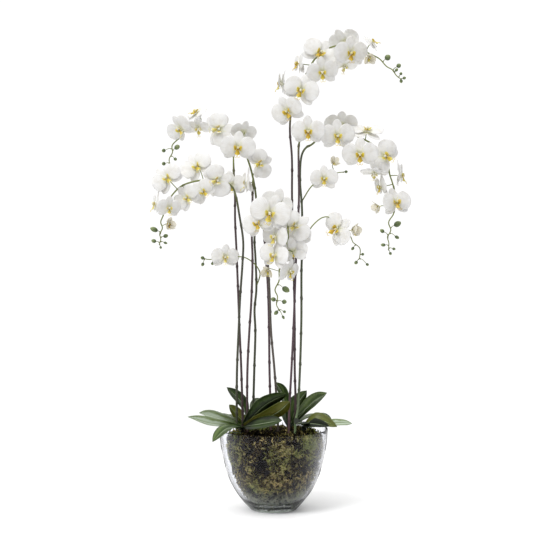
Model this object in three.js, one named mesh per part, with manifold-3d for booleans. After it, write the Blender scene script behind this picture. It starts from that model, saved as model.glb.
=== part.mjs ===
// White moth orchid in a glass vase: nine arching flower stems, four leaf rosettes, moss and a clear bowl.
// Millimetres, +Z up, seen from -Y. The origin is the middle of the vase's flat base.
import * as THREE from 'three';
import { mergeVertices } from 'three/addons/utils/BufferGeometryUtils.js';
import Module from 'manifold-3d';

const wasm = await Module();
wasm.setup();

const CLEARANCE = 0.3;
const HOLE_CLEARANCE = 0.5;
const SPECK_VOLUME = 0.01;

// Places below were read in the plane through the vase's middle, from this eye.
const EYE = new THREE.Vector3(4.5, -4100, 900);

// Vase
const VASE_SEGMENTS = 24;
const VASE_OUTSIDE = [[68, 0], [71, 3], [94, 28], [118, 62], [138, 103], [151, 151], [160, 200], [164, 243]];
const VASE_RIM = [[162.5, 245.5], [160.2, 245]];
const VASE_INSIDE = [[155, 200], [146, 151], [132.5, 103], [112, 62], [84, 28], [60, 18]];
const VASE_FLOOR = 18;

// Moss
const MOSS_SEGMENTS = 21;
const MOSS_PROFILE = [
  [52, 18.4], [76, 30], [100, 62], [121, 103], [134, 148], [143, 196], [139, 222], [112, 232],
  [70, 233], [34, 233],
];
const MOSS_BOTTOM = 18.4;
const MOSS_TOP = 233;
const MOSS_LUMP = 3.6;
const MOSS_SHIFT = 4;
const MOSS_FOOT = 60;
const MOSS_CORE = 100;
const MOSS_SHOULDER = 210;

// Leaves
const CROWN_RADIUS = 9;
const CROWN_SIDES = 6;
const CROWN_BOTTOM = 190;
const CROWN_TOP = 256;
const LEAF_HALF_WIDTH = 24;
const LEAF_THICKNESS = 3.2;
const LEAF_FOLD = 0.2;
const LEAF_STATIONS = [[0, 0.35], [0.22, 0.78], [0.5, 1], [0.8, 0.75]];

// Stems
const STEM_SIDES = 4;
const STEM_RADIUS = 3.2;
const STEM_TIP_RADIUS = 1.2;
const SHOOT_RADIUS = 1.5;
const STALK_SIDES = 3;
const SHOOT_SIDES = 4;
const STALK_RADIUS = 1.1;
const STALK_END = 4;
const BUD_SIDES = 4;
const LONG_STEP = 46;

// A full bloom is about 100 mm across its petals.
const BLADE_THICKNESS = 1.8;
const PETAL_OUTLINE = [[13, -20], [33, -26], [47, -12], [48, 10], [34, 25], [13, 21]];
const OPENING_OUTLINE = [[15, -20], [44, -12], [44, 12], [15, 20]];
const SEPAL_OUTLINE = [[18, -13], [43, -8], [43, 8], [18, 13]];
const MIDDLE_LENGTH = 25;
const NOTCH_LENGTH = 6;
const NOTCH_ANGLES = [-24, 24, 112, 180, -112];
const PETAL_ANGLE = 79;
const LOW_SEPAL_ANGLE = 127;
const OPENING_CUP = 52;
const COLUMN_LENGTH = 12;
const BOSS_END = 7;
const FUSED_DEPTH = 2;

function radians(degrees) {
  return THREE.MathUtils.degToRad(degrees);
}

// Carries a place seen in the middle plane along the line of sight to its depth.
function place([across, height, depth]) {
  const seen = new THREE.Vector3(across, 0, height);
  return EYE.clone().lerp(seen, 1 + depth / -EYE.y);
}

// A closed shell; its faces are turned over if they were wound to face in.
function shell(vertices, faces) {
  const geometry = new THREE.BufferGeometry();
  const wedge = ([a, b, c]) => vertices[a].dot(vertices[b].clone().cross(vertices[c]));
  const volume = faces.reduce((sum, face) => sum + wedge(face), 0);
  if (volume < 0) faces.forEach((face) => face.reverse());
  geometry.setAttribute('position', new THREE.Float32BufferAttribute(vertices.flatMap((v) => v.toArray()), 3));
  geometry.setIndex(faces.flat());
  return geometry;
}

// A closed tube with a ring of vertices at each point.
function tube(points, radii, sides) {
  const vertices = [];
  const faces = [];
  const last = points.length - 1;
  const start = points[1].clone().sub(points[0]);
  const sideways = Math.abs(start.x) < start.length() * 0.8;
  const across = sideways ? new THREE.Vector3(1, 0, 0) : new THREE.Vector3(0, 1, 0);
  points.forEach((point, ring) => {
    const along = points[Math.min(ring + 1, last)].clone().sub(points[Math.max(ring - 1, 0)]).normalize();
    across.addScaledVector(along, -across.dot(along)).normalize();
    const other = along.clone().cross(across);
    for (let side = 0; side < sides; side += 1) {
      const angle = (2 * Math.PI * side) / sides;
      vertices.push(point.clone()
        .addScaledVector(across, radii[ring] * Math.cos(angle))
        .addScaledVector(other, radii[ring] * Math.sin(angle)));
    }
  });
  for (let ring = 0; ring < last; ring += 1) {
    for (let side = 0; side < sides; side += 1) {
      const here = ring * sides + side;
      const next = ring * sides + ((side + 1) % sides);
      faces.push([here, next, next + sides], [here, next + sides, here + sides]);
    }
  }
  for (let side = 1; side < sides - 1; side += 1) {
    const end = last * sides;
    faces.push([0, side + 1, side], [end, end + side, end + side + 1]);
  }
  return shell(vertices, faces);
}

function evenTube(points, radius, sides) {
  return tube(points, points.map(() => radius), sides);
}

// Blades that share one root: each arm has an outline and a thick middle, and neighbours meet at a notch.
// Both faces of an arm are split alike, so a waved arm stays one thin closed blade. The posts are rings of
// vertices, one for each notch, that carry the root on to the front and to the back; one vertex closes it.
function star(arms, notches, frontPost, backPost) {
  const vertices = [...notches];
  const faces = [];
  const add = (list) => list.map((vertex) => vertices.push(vertex) - 1);
  const face = (corners, isBack) => faces.push(isBack ? corners.reverse() : corners);
  const posts = [frontPost, backPost].map((rings) => rings.map(add));
  arms.forEach(({ outline, middle, half }, index) => {
    const after = (index + 1) % arms.length;
    const rim = add(outline);
    const middles = add([middle.clone().add(half), middle.clone().sub(half)]);
    posts.forEach(([root], side) => {
      const inner = root.length === 1 ? root : [root[after], root[index]];
      const loop = [index, ...rim, after, ...inner];
      loop.forEach((corner, spot) => face([corner, loop[(spot + 1) % loop.length], middles[side]], side));
    });
  });
  posts.forEach((rings, side) => {
    rings.slice(1).forEach((ring, step) => ring.forEach((corner, index) => {
      const after = (index + 1) % arms.length;
      const below = rings[step];
      face([below[index], below[after], ring[after]], side);
      face([below[index], ring[after], corner], side);
    }));
    const end = rings[rings.length - 1];
    for (let spot = 1; spot < end.length - 1; spot += 1) face([end[0], end[spot], end[spot + 1]], side);
  });
  return shell(vertices, faces);
}

// A long blade: a left edge, a thick rib and a right edge at each station, and one pointed tip.
function ribbedBlade(stations, tip) {
  const vertices = [];
  const faces = [];
  stations.forEach(({ left, rib, right, half }) => {
    vertices.push(left, rib.clone().add(half), right, rib.clone().sub(half));
  });
  vertices.push(tip);
  stations.forEach((_, index) => {
    const [left, top, right, under] = [0, 1, 2, 3].map((corner) => index * 4 + corner);
    if (index === stations.length - 1) {
      const end = vertices.length - 1;
      faces.push([left, top, end], [top, right, end], [right, under, end], [under, left, end]);
      return;
    }
    for (const [a, b] of [[left, top], [top, right], [right, under], [under, left]]) {
      faces.push([a, b, b + 4], [a, b + 4, a + 4]);
    }
  });
  faces.push([0, 2, 1], [0, 3, 2]);
  return shell(vertices, faces);
}

// Solids for joining and cutting
function solid(geometry) {
  const bare = geometry.clone();
  bare.deleteAttribute('normal');
  bare.deleteAttribute('uv');
  const merged = mergeVertices(bare, 1e-4);
  const corners = Array.from(merged.index.array);
  const kept = [];
  for (let first = 0; first < corners.length; first += 3) {
    const [a, b, c] = corners.slice(first, first + 3);
    if (a !== b && b !== c && a !== c) kept.push(a, b, c);
  }
  return new wasm.Manifold(new wasm.Mesh({
    numProp: 3,
    vertProperties: new Float32Array(merged.attributes.position.array),
    triVerts: new Uint32Array(kept),
  }));
}

// Joins pieces into one body. Joining can leave specks of no volume beside it, which are dropped.
function join(geometries) {
  const whole = geometries.map(solid).reduce((sum, piece) => sum.add(piece));
  const bodies = whole.decompose().filter((body) => body.volume() > SPECK_VOLUME);
  return bodies.length === 1 ? bodies[0] : whole;
}

function toGeometry(manifold) {
  const mesh = manifold.getMesh();
  const geometry = new THREE.BufferGeometry();
  geometry.setAttribute('position', new THREE.BufferAttribute(new Float32Array(mesh.vertProperties), 3));
  geometry.setIndex(new THREE.BufferAttribute(new Uint32Array(mesh.triVerts), 1));
  geometry.computeVertexNormals();
  return geometry;
}

// Materials
function finish(color, roughness, extra = {}) {
  return new THREE.MeshStandardMaterial({ color, roughness, metalness: 0, ...extra });
}

const GLASS = finish(0xdfe6ea, 0.05, { transparent: true, opacity: 0.35 });
const MOSS = finish(0x5f5a2c, 0.95);
const LEAF = finish(0x3f5f2f, 0.45);
const STEM = finish(0x5f5045, 0.6);
const PETAL = finish(0xece9e2, 0.7);

function piece(name, geometry, material) {
  const mesh = new THREE.Mesh(geometry, material);
  mesh.name = name;
  return mesh;
}

// Turned shapes: a profile of radius and height that starts and ends on the axis
function lathe(profile, segments) {
  const outline = profile.map(([radius, height]) => new THREE.Vector2(radius, height));
  return new THREE.LatheGeometry(outline, segments).rotateX(Math.PI / 2);
}

// Vase: a thick-based bowl turned from one closed profile
function vase() {
  const profile = [[0, 0], ...VASE_OUTSIDE, ...VASE_RIM, ...VASE_INSIDE, [0, VASE_FLOOR]];
  return piece('glass_vase', toGeometry(solid(lathe(profile, VASE_SEGMENTS))), GLASS);
}

// Moss: a lumpy plug that rests on the vase's floor, with a plain hole for each stem and crown
function lump(x, y, z) {
  const broad = Math.sin(x * 0.071 + z * 0.043) * Math.cos(y * 0.083 - z * 0.061);
  return broad + 0.5 * Math.sin(x * 0.19 + y * 0.13 + z * 0.17);
}

function moss(holes) {
  const profile = [[0, MOSS_BOTTOM], ...MOSS_PROFILE, [0, MOSS_TOP]];
  const plug = lathe(profile, MOSS_SEGMENTS);
  const spots = plug.attributes.position;
  const spot = new THREE.Vector3();
  for (let index = 0; index < spots.count; index += 1) {
    spot.fromBufferAttribute(spots, index);
    const rough = lump(spot.x, spot.y, spot.z);
    const reach = Math.hypot(spot.x, spot.y);
    const onSide = THREE.MathUtils.smoothstep(spot.z, MOSS_BOTTOM, MOSS_FOOT) * Math.min(reach / MOSS_CORE, 1);
    const widen = 1 + (MOSS_LUMP * rough * onSide) / Math.max(reach, 1);
    const lift = spot.z > MOSS_SHOULDER ? MOSS_LUMP * rough : 0;
    spots.setXYZ(index, spot.x * widen + MOSS_SHIFT * onSide, spot.y * widen, spot.z + lift);
  }
  const drilled = holes.reduce((whole, hole) => whole.subtract(solid(hole)), solid(plug));
  return piece('moss_fill', toGeometry(drilled), MOSS);
}

// Blooms face -Y about their own middle. A tepal points `angle` degrees clockwise from straight up.
function tepal({ angle, outline, layer, cup, bulge, wave = 1.5 }) {
  const turn = radians(angle);
  const lean = radians(cup);
  const outwards = new THREE.Vector3(Math.sin(turn), 0, Math.cos(turn));
  const across = new THREE.Vector3(Math.cos(turn), 0, -Math.sin(turn));
  const forwards = new THREE.Vector3(0, -1, 0);
  const along = outwards.clone().multiplyScalar(Math.cos(lean)).addScaledVector(forwards, Math.sin(lean));
  const front = forwards.clone().multiplyScalar(Math.cos(lean)).addScaledVector(outwards, -Math.sin(lean));
  const at = (length, side, rise) => new THREE.Vector3(0, layer, 0)
    .addScaledVector(along, length)
    .addScaledVector(across, side)
    .addScaledVector(front, rise);
  return {
    outline: outline.map(([length, side], index) => at(length, side, wave * (index % 2 ? 1 : -1))),
    middle: at(MIDDLE_LENGTH, 0, bulge),
    half: front.clone().multiplyScalar(BLADE_THICKNESS / 2),
  };
}

function mirrored(outline) {
  return outline.map(([length, side]) => [length, -side]).reverse();
}

// Sepals lie behind the two broad petals, the column stands in front and the boss behind takes the stalk.
// `cup` folds all five tepals forward in a bloom that is still opening.
function perianth(cup, petalOutline) {
  const sepal = (angle) => tepal({ angle, outline: SEPAL_OUTLINE, layer: 2.5, cup: cup - 5, bulge: 1.5 });
  const petal = (angle, outline) => tepal({ angle, outline, layer: -2, cup: cup + 3, bulge: -1 });
  const arms = [
    sepal(0), petal(PETAL_ANGLE, petalOutline), sepal(LOW_SEPAL_ANGLE),
    sepal(-LOW_SEPAL_ANGLE), petal(-PETAL_ANGLE, mirrored(petalOutline)),
  ];
  const ring = (radius, depth, lift = 0) => NOTCH_ANGLES.map((angle) => new THREE.Vector3(
    radius * Math.sin(radians(angle)), depth, radius * Math.cos(radians(angle)) + lift));
  const columnRings = [ring(3, -2), ring(3.4, -COLUMN_LENGTH, 1.5)];
  const bossRings = [ring(3, 2), ring(2, BOSS_END)];
  return star(arms, ring(NOTCH_LENGTH, 0), columnRings, bossRings);
}

// Two upright side lobes and a pointed tongue; its root is a spike into the column.
function lip() {
  const points = (list) => list.map(([x, y, z]) => new THREE.Vector3(x, y, z));
  const sideLobe = (hand, order) => ({
    outline: points(order([[10 * hand, -8, -8], [13 * hand, -14, 1], [8 * hand, -12, 9]])),
    middle: new THREE.Vector3(10 * hand, -10, 0),
    half: new THREE.Vector3(-0.9 * hand, 0, 0),
  });
  const tongue = {
    outline: points([[6, -11, -12], [0, -21, -24], [-6, -11, -12]]),
    middle: new THREE.Vector3(0, -11, -12),
    half: new THREE.Vector3(0, -0.8, 0.8),
  };
  const arms = [sideLobe(1, (list) => list.reverse()), tongue, sideLobe(-1, (list) => list)];
  const notches = points([[0, -9, -4.5], [3, -6, -7], [-3, -6, -7]]);
  return star(arms, notches, [points([[0, -7.5, -5.5]])], [points([[0, -5, 0]])]);
}

const FULL_BLOOM = join([perianth(0, PETAL_OUTLINE), lip()]);
const OPENING_BLOOM = join([perianth(OPENING_CUP, OPENING_OUTLINE)]);

// Leaves: a crown of ribbed blades, each bent through a base, a body and a tip
function leaf({ base, body, tip, twist = 0, width = 1 }) {
  const path = new THREE.CatmullRomCurve3([base, body, tip].map(place));
  const stations = LEAF_STATIONS.map(([spot, share]) => {
    const rib = path.getPoint(spot);
    const along = path.getTangent(spot);
    const level = along.clone().cross(new THREE.Vector3(0, 0, 1)).normalize();
    const side = level.applyAxisAngle(along, radians(twist));
    const face = side.clone().cross(along).normalize();
    const reach = LEAF_HALF_WIDTH * share * width;
    return {
      left: rib.clone().addScaledVector(side, -reach).addScaledVector(face, LEAF_FOLD * reach),
      rib,
      right: rib.clone().addScaledVector(side, reach).addScaledVector(face, LEAF_FOLD * reach),
      half: face.clone().multiplyScalar(LEAF_THICKNESS / 2),
    };
  });
  return ribbedBlade(stations, path.getPoint(1));
}

function crown([across, depth], grow = 0) {
  const points = [CROWN_BOTTOM - grow, CROWN_TOP].map((height) => new THREE.Vector3(across, depth, height));
  return evenTube(points, CROWN_RADIUS + grow, CROWN_SIDES);
}

// Stems and what they carry
function routeCurve(route) {
  return new THREE.CatmullRomCurve3(route.map(place), false, 'centripetal');
}

// Rings at the route's own points, and halfway along each long step past the first arching point
function ringPoints(route, arching) {
  const curve = routeCurve(route);
  const spots = [];
  route.forEach((_, index) => {
    spots.push(curve.getPoint(index / (route.length - 1)));
    const next = curve.getPoint(Math.min((index + 1) / (route.length - 1), 1));
    const long = spots[spots.length - 1].distanceTo(next) > LONG_STEP;
    if (index >= arching && long) spots.push(curve.getPoint((index + 0.5) / (route.length - 1)));
  });
  return spots;
}

function taper(points, first, last) {
  return points.map((_, index) => THREE.MathUtils.lerp(first, last, index / (points.length - 1)));
}

// The place on the line through the points that lies nearest to the target
function nearest(points, target) {
  const spots = points.slice(1).map((end, index) => new THREE.Line3(points[index], end)
    .closestPointToPoint(target, true, new THREE.Vector3()));
  return spots.reduce((best, spot) => (spot.distanceTo(target) < best.distanceTo(target) ? spot : best));
}

// How a bloom is turned: yaw to the viewer's right, pitch upwards, roll clockwise.
function turned([yaw, pitch, roll]) {
  return new THREE.Euler(-radians(pitch), radians(roll), radians(yaw), 'ZXY');
}

// A stalk leaves the stem, comes round behind the bloom and ends at its boss: just short of a separate
// bloom,
// and inside one that belongs to the stem's own node.
function stalk(root, centre, turn, size, gap) {
  const backwards = new THREE.Vector3(0, 1, 0).applyEuler(turned(turn));
  const end = centre.clone().addScaledVector(backwards, BOSS_END * size + gap);
  const straight = end.clone().addScaledVector(backwards, STALK_END);
  const reach = root.distanceTo(straight);
  const bend = straight.clone().addScaledVector(backwards, reach * 0.3).lerp(root, 0.35);
  return evenTube([root, bend, straight, end], STALK_RADIUS, STALK_SIDES);
}

function bud(root, centre, length, width) {
  const along = centre.clone().sub(root).normalize();
  const at = (share) => centre.clone().addScaledVector(along, length * share);
  const half = width / 2;
  return [
    tube([at(-0.5), at(-0.08), at(0.5)], [half * 0.4, half, half * 0.25], BUD_SIDES),
    evenTube([root, at(-0.4)], STALK_RADIUS, STALK_SIDES),
  ];
}

function placed(manifold, centre, turn, size) {
  const geometry = toGeometry(manifold).scale(size, size, size);
  geometry.applyMatrix4(new THREE.Matrix4().makeRotationFromEuler(turned(turn)));
  return geometry.translate(...centre.toArray());
}

function opening(root, centre, turn, size) {
  const backwards = new THREE.Vector3(0, 1, 0).applyEuler(turned(turn));
  const end = centre.clone().addScaledVector(backwards, FUSED_DEPTH * size);
  return [placed(OPENING_BLOOM, centre, turn, size), evenTube([root, end], STALK_RADIUS, STALK_SIDES)];
}

// Each leaf bends through three places, given as across, height and depth; twist tips its face to the
// viewer.
const ROSETTES = [
  {
    name: 'leaves_left_front',
    crown: [-95, -30],
    leaves: [
      { base: [-98, 248, -32], body: [-193, 268, -30], tip: [-258, 282, -20], twist: 25 },
      { base: [-90, 247, -36], body: [-143, 252, -96], tip: [-181, 214, -128], twist: 12 },
      { base: [-88, 249, -38], body: [-30, 262, -88], tip: [26, 268, -112], twist: 20 },
      { base: [-90, 252, -34], body: [-27, 322, -42], tip: [40, 349, -54], twist: -35, width: 1.1 },
      { base: [-88, 250, -36], body: [10, 296, -66], tip: [49, 326, -84], twist: -30 },
    ],
  },
  {
    name: 'leaves_left_back',
    crown: [-76, 44],
    leaves: [
      { base: [-80, 250, 46], body: [-179, 287, 52], tip: [-225, 294, 60], twist: 25 },
      { base: [-79, 252, 42], body: [-112, 292, 52], tip: [-134, 314, 58], twist: 60, width: 0.8 },
      { base: [-78, 254, 48], body: [-94, 320, 64], tip: [-141, 369, 78], twist: 70, width: 0.9 },
      { base: [-72, 254, 46], body: [-60, 310, 66], tip: [-38, 340, 80], twist: -60, width: 0.9 },
      { base: [-74, 250, 50], body: [-60, 296, 112], tip: [-52, 280, 168], twist: 0 },
      { base: [-78, 250, 48], body: [-138, 282, 96], tip: [-184, 262, 142], twist: 10 },
    ],
  },
  {
    name: 'leaves_right_front',
    crown: [92, -8],
    leaves: [
      { base: [95, 252, -10], body: [143, 284, -26], tip: [188, 254, -46], twist: 25 },
      { base: [93, 248, -14], body: [116, 258, -72], tip: [164, 252, -116], twist: 25 },
      { base: [96, 250, -2], body: [190, 266, 16], tip: [235, 262, 26], twist: 30, width: 0.9 },
      { base: [92, 250, -16], body: [88, 259, -90], tip: [70, 256, -142], twist: -10, width: 0.9 },
    ],
  },
  {
    name: 'leaves_right_back',
    crown: [48, 46],
    leaves: [
      { base: [46, 254, 50], body: [27, 350, 62], tip: [8, 384, 70], twist: 70, width: 0.8 },
      { base: [50, 254, 48], body: [70, 318, 56], tip: [100, 359, 62], twist: -60, width: 0.8 },
      { base: [52, 252, 50], body: [128, 326, 72], tip: [160, 350, 88], twist: -25, width: 0.9 },
      { base: [46, 254, 46], body: [52, 300, 52], tip: [62, 345, 56], twist: -80, width: 0.7 },
      { base: [48, 250, 52], body: [40, 298, 112], tip: [30, 276, 172], twist: 0 },
      { base: [52, 250, 50], body: [128, 284, 104], tip: [176, 262, 148], twist: -10 },
    ],
  },
];

// Flower stems: `route` runs from inside the moss to the tip as across, height and depth, and arches
// past point
// `arching`. A bloom has a place, a turn (yaw, pitch, roll) and a size; fused blooms belong to the
// stem's own
// node. A bud has a place, a length and a width. A shoot leaves the stem at its first point.
const STEMS = [
  {
    name: 'flower_stem_1',
    sway: -0.3,
    arching: 9,
    route: [
      [-111, 160, 6], [-111, 262, 6], [-110, 420, 4], [-105, 540, 2], [-100, 645, 0], [-93, 744, -4],
      [-91, 810, -6],
      [-102, 885, -4], [-113, 945, 0], [-124, 972, 6], [-154, 990, 14], [-196, 993, 18], [-241, 987, 16],
      [-274, 975, 12], [-298, 954, 6], [-315, 928, 4], [-331, 885, 0], [-338, 866, 0], [-333, 849, 0],
      [-341, 830, 0],
      [-338, 816, 0], [-342, 801, 0],
    ],
    blooms: {
      g1: [[-126, 978, 22], [180, 0, 0], 0.75],
      g2: [[-169.5, 990, -10], [10, 0, 70], 1.0],
      g3: [[-211.5, 951, -15], [0, 0, -50], 0.8],
      g4: [[-259.5, 939, -12], [-10, 0, -45], 0.85],
      g5: [[-232.5, 1026, 34], [-35, 20, -40], 0.95],
      g6: [[-316.5, 993, -10], [-10, 10, -40], 0.95],
      g7: [[-349.5, 921, 26], [-80, 0, 0], 0.8],
      g8: [[-313.5, 909, -27], [20, -15, 0], 0.75],
    },
    openings: [[[-310.5, 861, -5], [30, -10, 0], 0.6]],
    buds: [
      [[-358.5, 844.5, 0], 24, 15], [[-323, 825, 2], 15, 12], [[-359.4, 810, -2], 15, 12],
      [[-323.7, 804, 2], 12, 7.5],
      [[-338.4, 790, 0], 8, 7.5],
    ],
  },
  {
    name: 'flower_stem_2',
    arching: 9,
    route: [
      [-93, 160, 26], [-93, 262, 26], [-97, 420, 28], [-102, 540, 30], [-106.5, 660, 34], [-111, 780, 40],
      [-115, 870, 46], [-115.5, 945, 48], [-119, 1020, 38], [-120, 1092, 10],
    ],
    blooms: {
      f1: [[-106.5, 1089, -30], [0, -10, 5], 1.05],
      f2: [[-96, 1138, 10], [200, 30, 0], 0.8],
    },
  },
  {
    name: 'flower_stem_3',
    arching: 9,
    route: [
      [-79.5, 160, -4], [-79.5, 262, -4], [-78.6, 420, -4], [-72.6, 540, -6], [-67, 624, -8],
      [-63, 757, -10],
      [-65, 822, -10], [-63, 927, -6], [-62, 979, 0], [-61, 1008, 6],
    ],
    blooms: {
      f7: [[-40.5, 1041, -10], [15, 0, 70], 0.9],
      f8: [[-79.5, 984, 15], [-80, 0, 0], 0.85],
    },
  },
  {
    name: 'flower_stem_4',
    sway: 0.3,
    arching: 10,
    route: [
      [-63, 160, 16], [-62, 262, 16], [-58, 420, 16], [-54.6, 540, 18], [-57, 604, 20], [-51.6, 663, 22],
      [-54, 757, 26], [-57, 816, 28], [-51, 885, 30], [-52, 937, 32], [-61.5, 999, 34], [-75, 1048, 30],
      [-97.5, 1101, 20], [-127.5, 1119, 14], [-145.5, 1128, 14], [-184.5, 1149, 18], [-208.5, 1159, 18],
      [-250.5, 1155, 20], [-280.5, 1119, 24], [-303, 1095, 16], [-302, 1075, 8], [-312, 1054.5, 8],
      [-310.5, 1038, 8],
      [-314, 1020, 8],
    ],
    blooms: {
      f3: [[-163.5, 1143, -11], [-5, 0, 80], 1.05],
      f4: [[-226.5, 1188, 15], [-60, 60, 0], 0.85],
      f5: [[-224, 1148, 3], [-10, -50, 0], 0.85],
      f6: [[-280.5, 1143, -18], [-40, -30, -30], 0.85],
    },
    buds: [
      [[-288, 1090.5, -2], 21, 15], [[-328.5, 1080, 8], 12, 12], [[-293.4, 1054.5, 6], 11, 10],
      [[-328.5, 1041, 8], 12, 12],
    ],
    shoots: [
      {
        route: [
          [-52, 672, 22], [-40.5, 712, 16], [-55, 739, 8], [-83, 759, 2], [-104.4, 763, 2], [-145, 764, 6],
          [-178.5, 755, 2], [-199.5, 755, 0], [-206, 757, 0],
        ],
        fused: [[[-145.5, 765, -15], [10, -5, 0], 0.85]],
        buds: [[[-213, 759, 0], 12, 11], [[-212.7, 739.5, 0], 12, 10], [[-183.6, 741.6, 0], 9, 9]],
      },
    ],
  },
  {
    name: 'flower_stem_5',
    arching: 8,
    route: [
      [-7.5, 160, 20], [-8, 262, 20], [-12, 420, 20], [-13.5, 540, 20], [-16.5, 660, 18], [-22.5, 756, 12],
      [-27, 816, 4], [-28.5, 860, -6], [-20, 905, -18], [-12, 926, -34],
    ],
    blooms: {
      e1: [[-7.5, 891, -82], [0, -5, 10], 1.15],
      e2: [[-49.5, 867, -45], [-10, 0, -15], 1.05],
      e3: [[22.5, 939, -20], [160, 0, 0], 0.9],
    },
  },
  {
    name: 'flower_stem_6',
    arching: 8,
    route: [
      [13.5, 160, -4], [13, 262, -4], [3, 420, -6], [-7.5, 540, -8], [-12, 660, -10], [-16.5, 750, -14],
      [-14, 830, -20], [-4, 890, -30], [7.5, 925, -36], [24, 925, -40], [38, 885, -42], [43.5, 825, -44],
      [31.5, 765, -44], [18, 726, -44], [16.5, 690, -44], [4.5, 663, -44], [12, 643, -44],
      [9, 618, -44], [16, 604, -44],
    ],
    blooms: {
      e4: [[67.5, 876, -46], [20, 0, -20], 1.0],
      e6: [[13.5, 816, -60], [-60, 0, 0], 0.95],
      e7: [[7.5, 759, -65], [-15, 5, 0], 0.95],
      e8: [[73.5, 774, -41], [170, 0, 0], 0.85],
      e10: [[46.5, 717, -55], [50, -15, 0], 0.85],
    },
    openings: [[[-16.5, 723, -45], [-20, -30, 0], 0.6]],
    buds: [
      [[37.5, 664, -44], 24, 18], [[-0.6, 634.5, -44], 15, 13.5], [[32.7, 627, -44], 14, 14],
      [[7.5, 594, -44], 15, 12],
      [[33.3, 597, -44], 9, 9], [[29.4, 580, -44], 12, 8],
    ],
  },
  {
    name: 'flower_stem_7',
    arching: 9,
    route: [
      [46.5, 160, -30], [46.5, 262, -30], [49, 330, -30], [54, 420, -30], [61, 570, -28], [67.5, 750, -26],
      [76, 933, -20], [75, 1040, -12], [76, 1098, -6], [82, 1120, -4],
    ],
    blooms: { b1: [[103.5, 1137, -30], [0, -10, 0], 1.0] },
  },
  {
    name: 'flower_stem_8',
    sway: -0.25,
    arching: 10,
    route: [
      [66, 160, 20], [66, 262, 20], [66, 348, 20], [64, 420, 20], [63.6, 570, 20], [60, 750, 20],
      [55.5, 939, 20],
      [55, 1060, 20], [49, 1140, 20], [52, 1190, 18], [62, 1240, 16], [84, 1280, 16], [104, 1320, 18],
      [130, 1360, 30], [175, 1388, 38], [225, 1392, 34], [262, 1380, 20], [290, 1366, 8], [315.6, 1353, 4],
      [337.5, 1330, 2], [354.6, 1320, 0], [366.6, 1303, 0], [379.5, 1293, 0],
    ],
    blooms: {
      a0: [[24, 1278, 45], [-95, 0, 0], 0.9],
      a1: [[76.5, 1338, 20], [-75, 5, 0], 0.85],
      a2: [[139.5, 1368, 0], [30, 20, 35], 1.0],
      a3: [[145.5, 1314, -20], [0, -25, -5], 0.95],
      a4: [[229.5, 1371, -25], [-5, -15, 0], 1.0],
      a5: [[208.5, 1407, 46], [170, 20, -15], 0.95],
      a7: [[292.5, 1401, 0], [80, 45, 0], 0.8],
      a8: [[211, 1333, 32], [20, -60, 0], 0.8],
      a9: [[79.5, 1260, -25], [-15, -5, 20], 1.05],
      a10: [[43.5, 1200, -20], [-20, -15, -12], 1.0],
    },
    openings: [[[283.5, 1356, -8], [10, -30, 0], 0.6]],
    buds: [
      [[340.5, 1357, 2], 18, 18], [[373.5, 1332.6, 0], 14, 13.5], [[366.9, 1320, -4], 12, 9],
      [[380, 1309, 0], 9, 9],
      [[390.6, 1296, 0], 10, 9], [[380.7, 1286, 0], 11, 10],
    ],
  },
  {
    name: 'flower_stem_9',
    sway: 0.25,
    arching: 11,
    route: [
      [66, 160, -30], [66.5, 262, -30], [73, 300, -28], [79.5, 420, -24], [83.7, 570, -18], [84, 720, -12],
      [86.4, 810, -6], [85, 915, 0], [79.5, 994.5, 6], [85, 1068, 8], [97.5, 1089, 8], [114, 1098, 8],
      [154.5, 1132, 8], [214.5, 1134, 10], [265, 1116, 12], [305, 1092, 10], [338, 1055, 6], [348, 1008, 4],
      [355, 987, 2], [363, 954, 2], [360.6, 894, 0], [345, 865.5, 0], [351.6, 842, 0], [342, 821, 0],
      [346, 804, 0],
      [345, 785, 0],
    ],
    blooms: {
      b2: [[193.5, 1128, -30], [5, -10, 0], 1.05],
      b3: [[199.5, 1167, 25], [180, 30, 0], 1.0],
      b4: [[277, 1136, 0], [-10, 65, 0], 0.95],
      b5: [[265.5, 1077, -45], [-5, -15, 0], 1.05],
      b6: [[328.5, 1062, -20], [30, 5, -70], 1.0],
      b7: [[301.5, 1014, 10], [0, -70, 0], 0.85],
      b8: [[322.5, 972, 5], [-70, -10, 0], 0.8],
      b9: [[382.5, 1005, 0], [85, 0, 0], 0.85],
      b10: [[367.5, 924, -28], [20, 10, 10], 1.0],
    },
    openings: [[[313.5, 912, 0], [-90, -20, 0], 0.6]],
    buds: [
      [[372, 861, 0], 24, 18], [[325.5, 840, 0], 15, 12], [[370.5, 820.8, 0], 15, 10.5],
      [[328.5, 798, 0], 15, 10.5],
      [[361.5, 786, 0], 10, 9], [[350.7, 772, 0], 10, 9],
    ],
    shoots: [
      {
        route: [[85, 929, 1], [115.5, 975, 4], [145, 993, 6], [187.5, 1012.8, 2], [208, 1016, 0]],
        fused: [[[151.5, 996, -10], [0, -5, 0], 0.85]],
        openings: [[[183, 1039.5, 0], [20, 40, 0], 0.45]],
        buds: [[[217.5, 1017, 0], 10, 9]],
      },
      {
        route: [
          [86, 806, -6], [101, 831, -8], [117.6, 856.5, -4], [146.7, 880, 8], [166.5, 881, 8],
          [200, 855, 6],
          [231.6, 822, 4], [238.5, 806, 2], [259, 788, 0], [258.3, 758, 0],
        ],
        blooms: { e5: [[88.5, 822, 8], [180, 0, 0], 0.85] },
        fused: [[[193.5, 846, -10], [-35, 0, 60], 0.95]],
        openings: [[[241.5, 841.5, 0], [60, 0, 0], 0.6]],
        buds: [[[237.3, 787, 0], 12, 9], [[268, 770, 0], 9, 9], [[247.5, 745, 0], 12, 11], [[281.7, 739, 0], 10, 9]],
      },
    ],
  },
];

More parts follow.
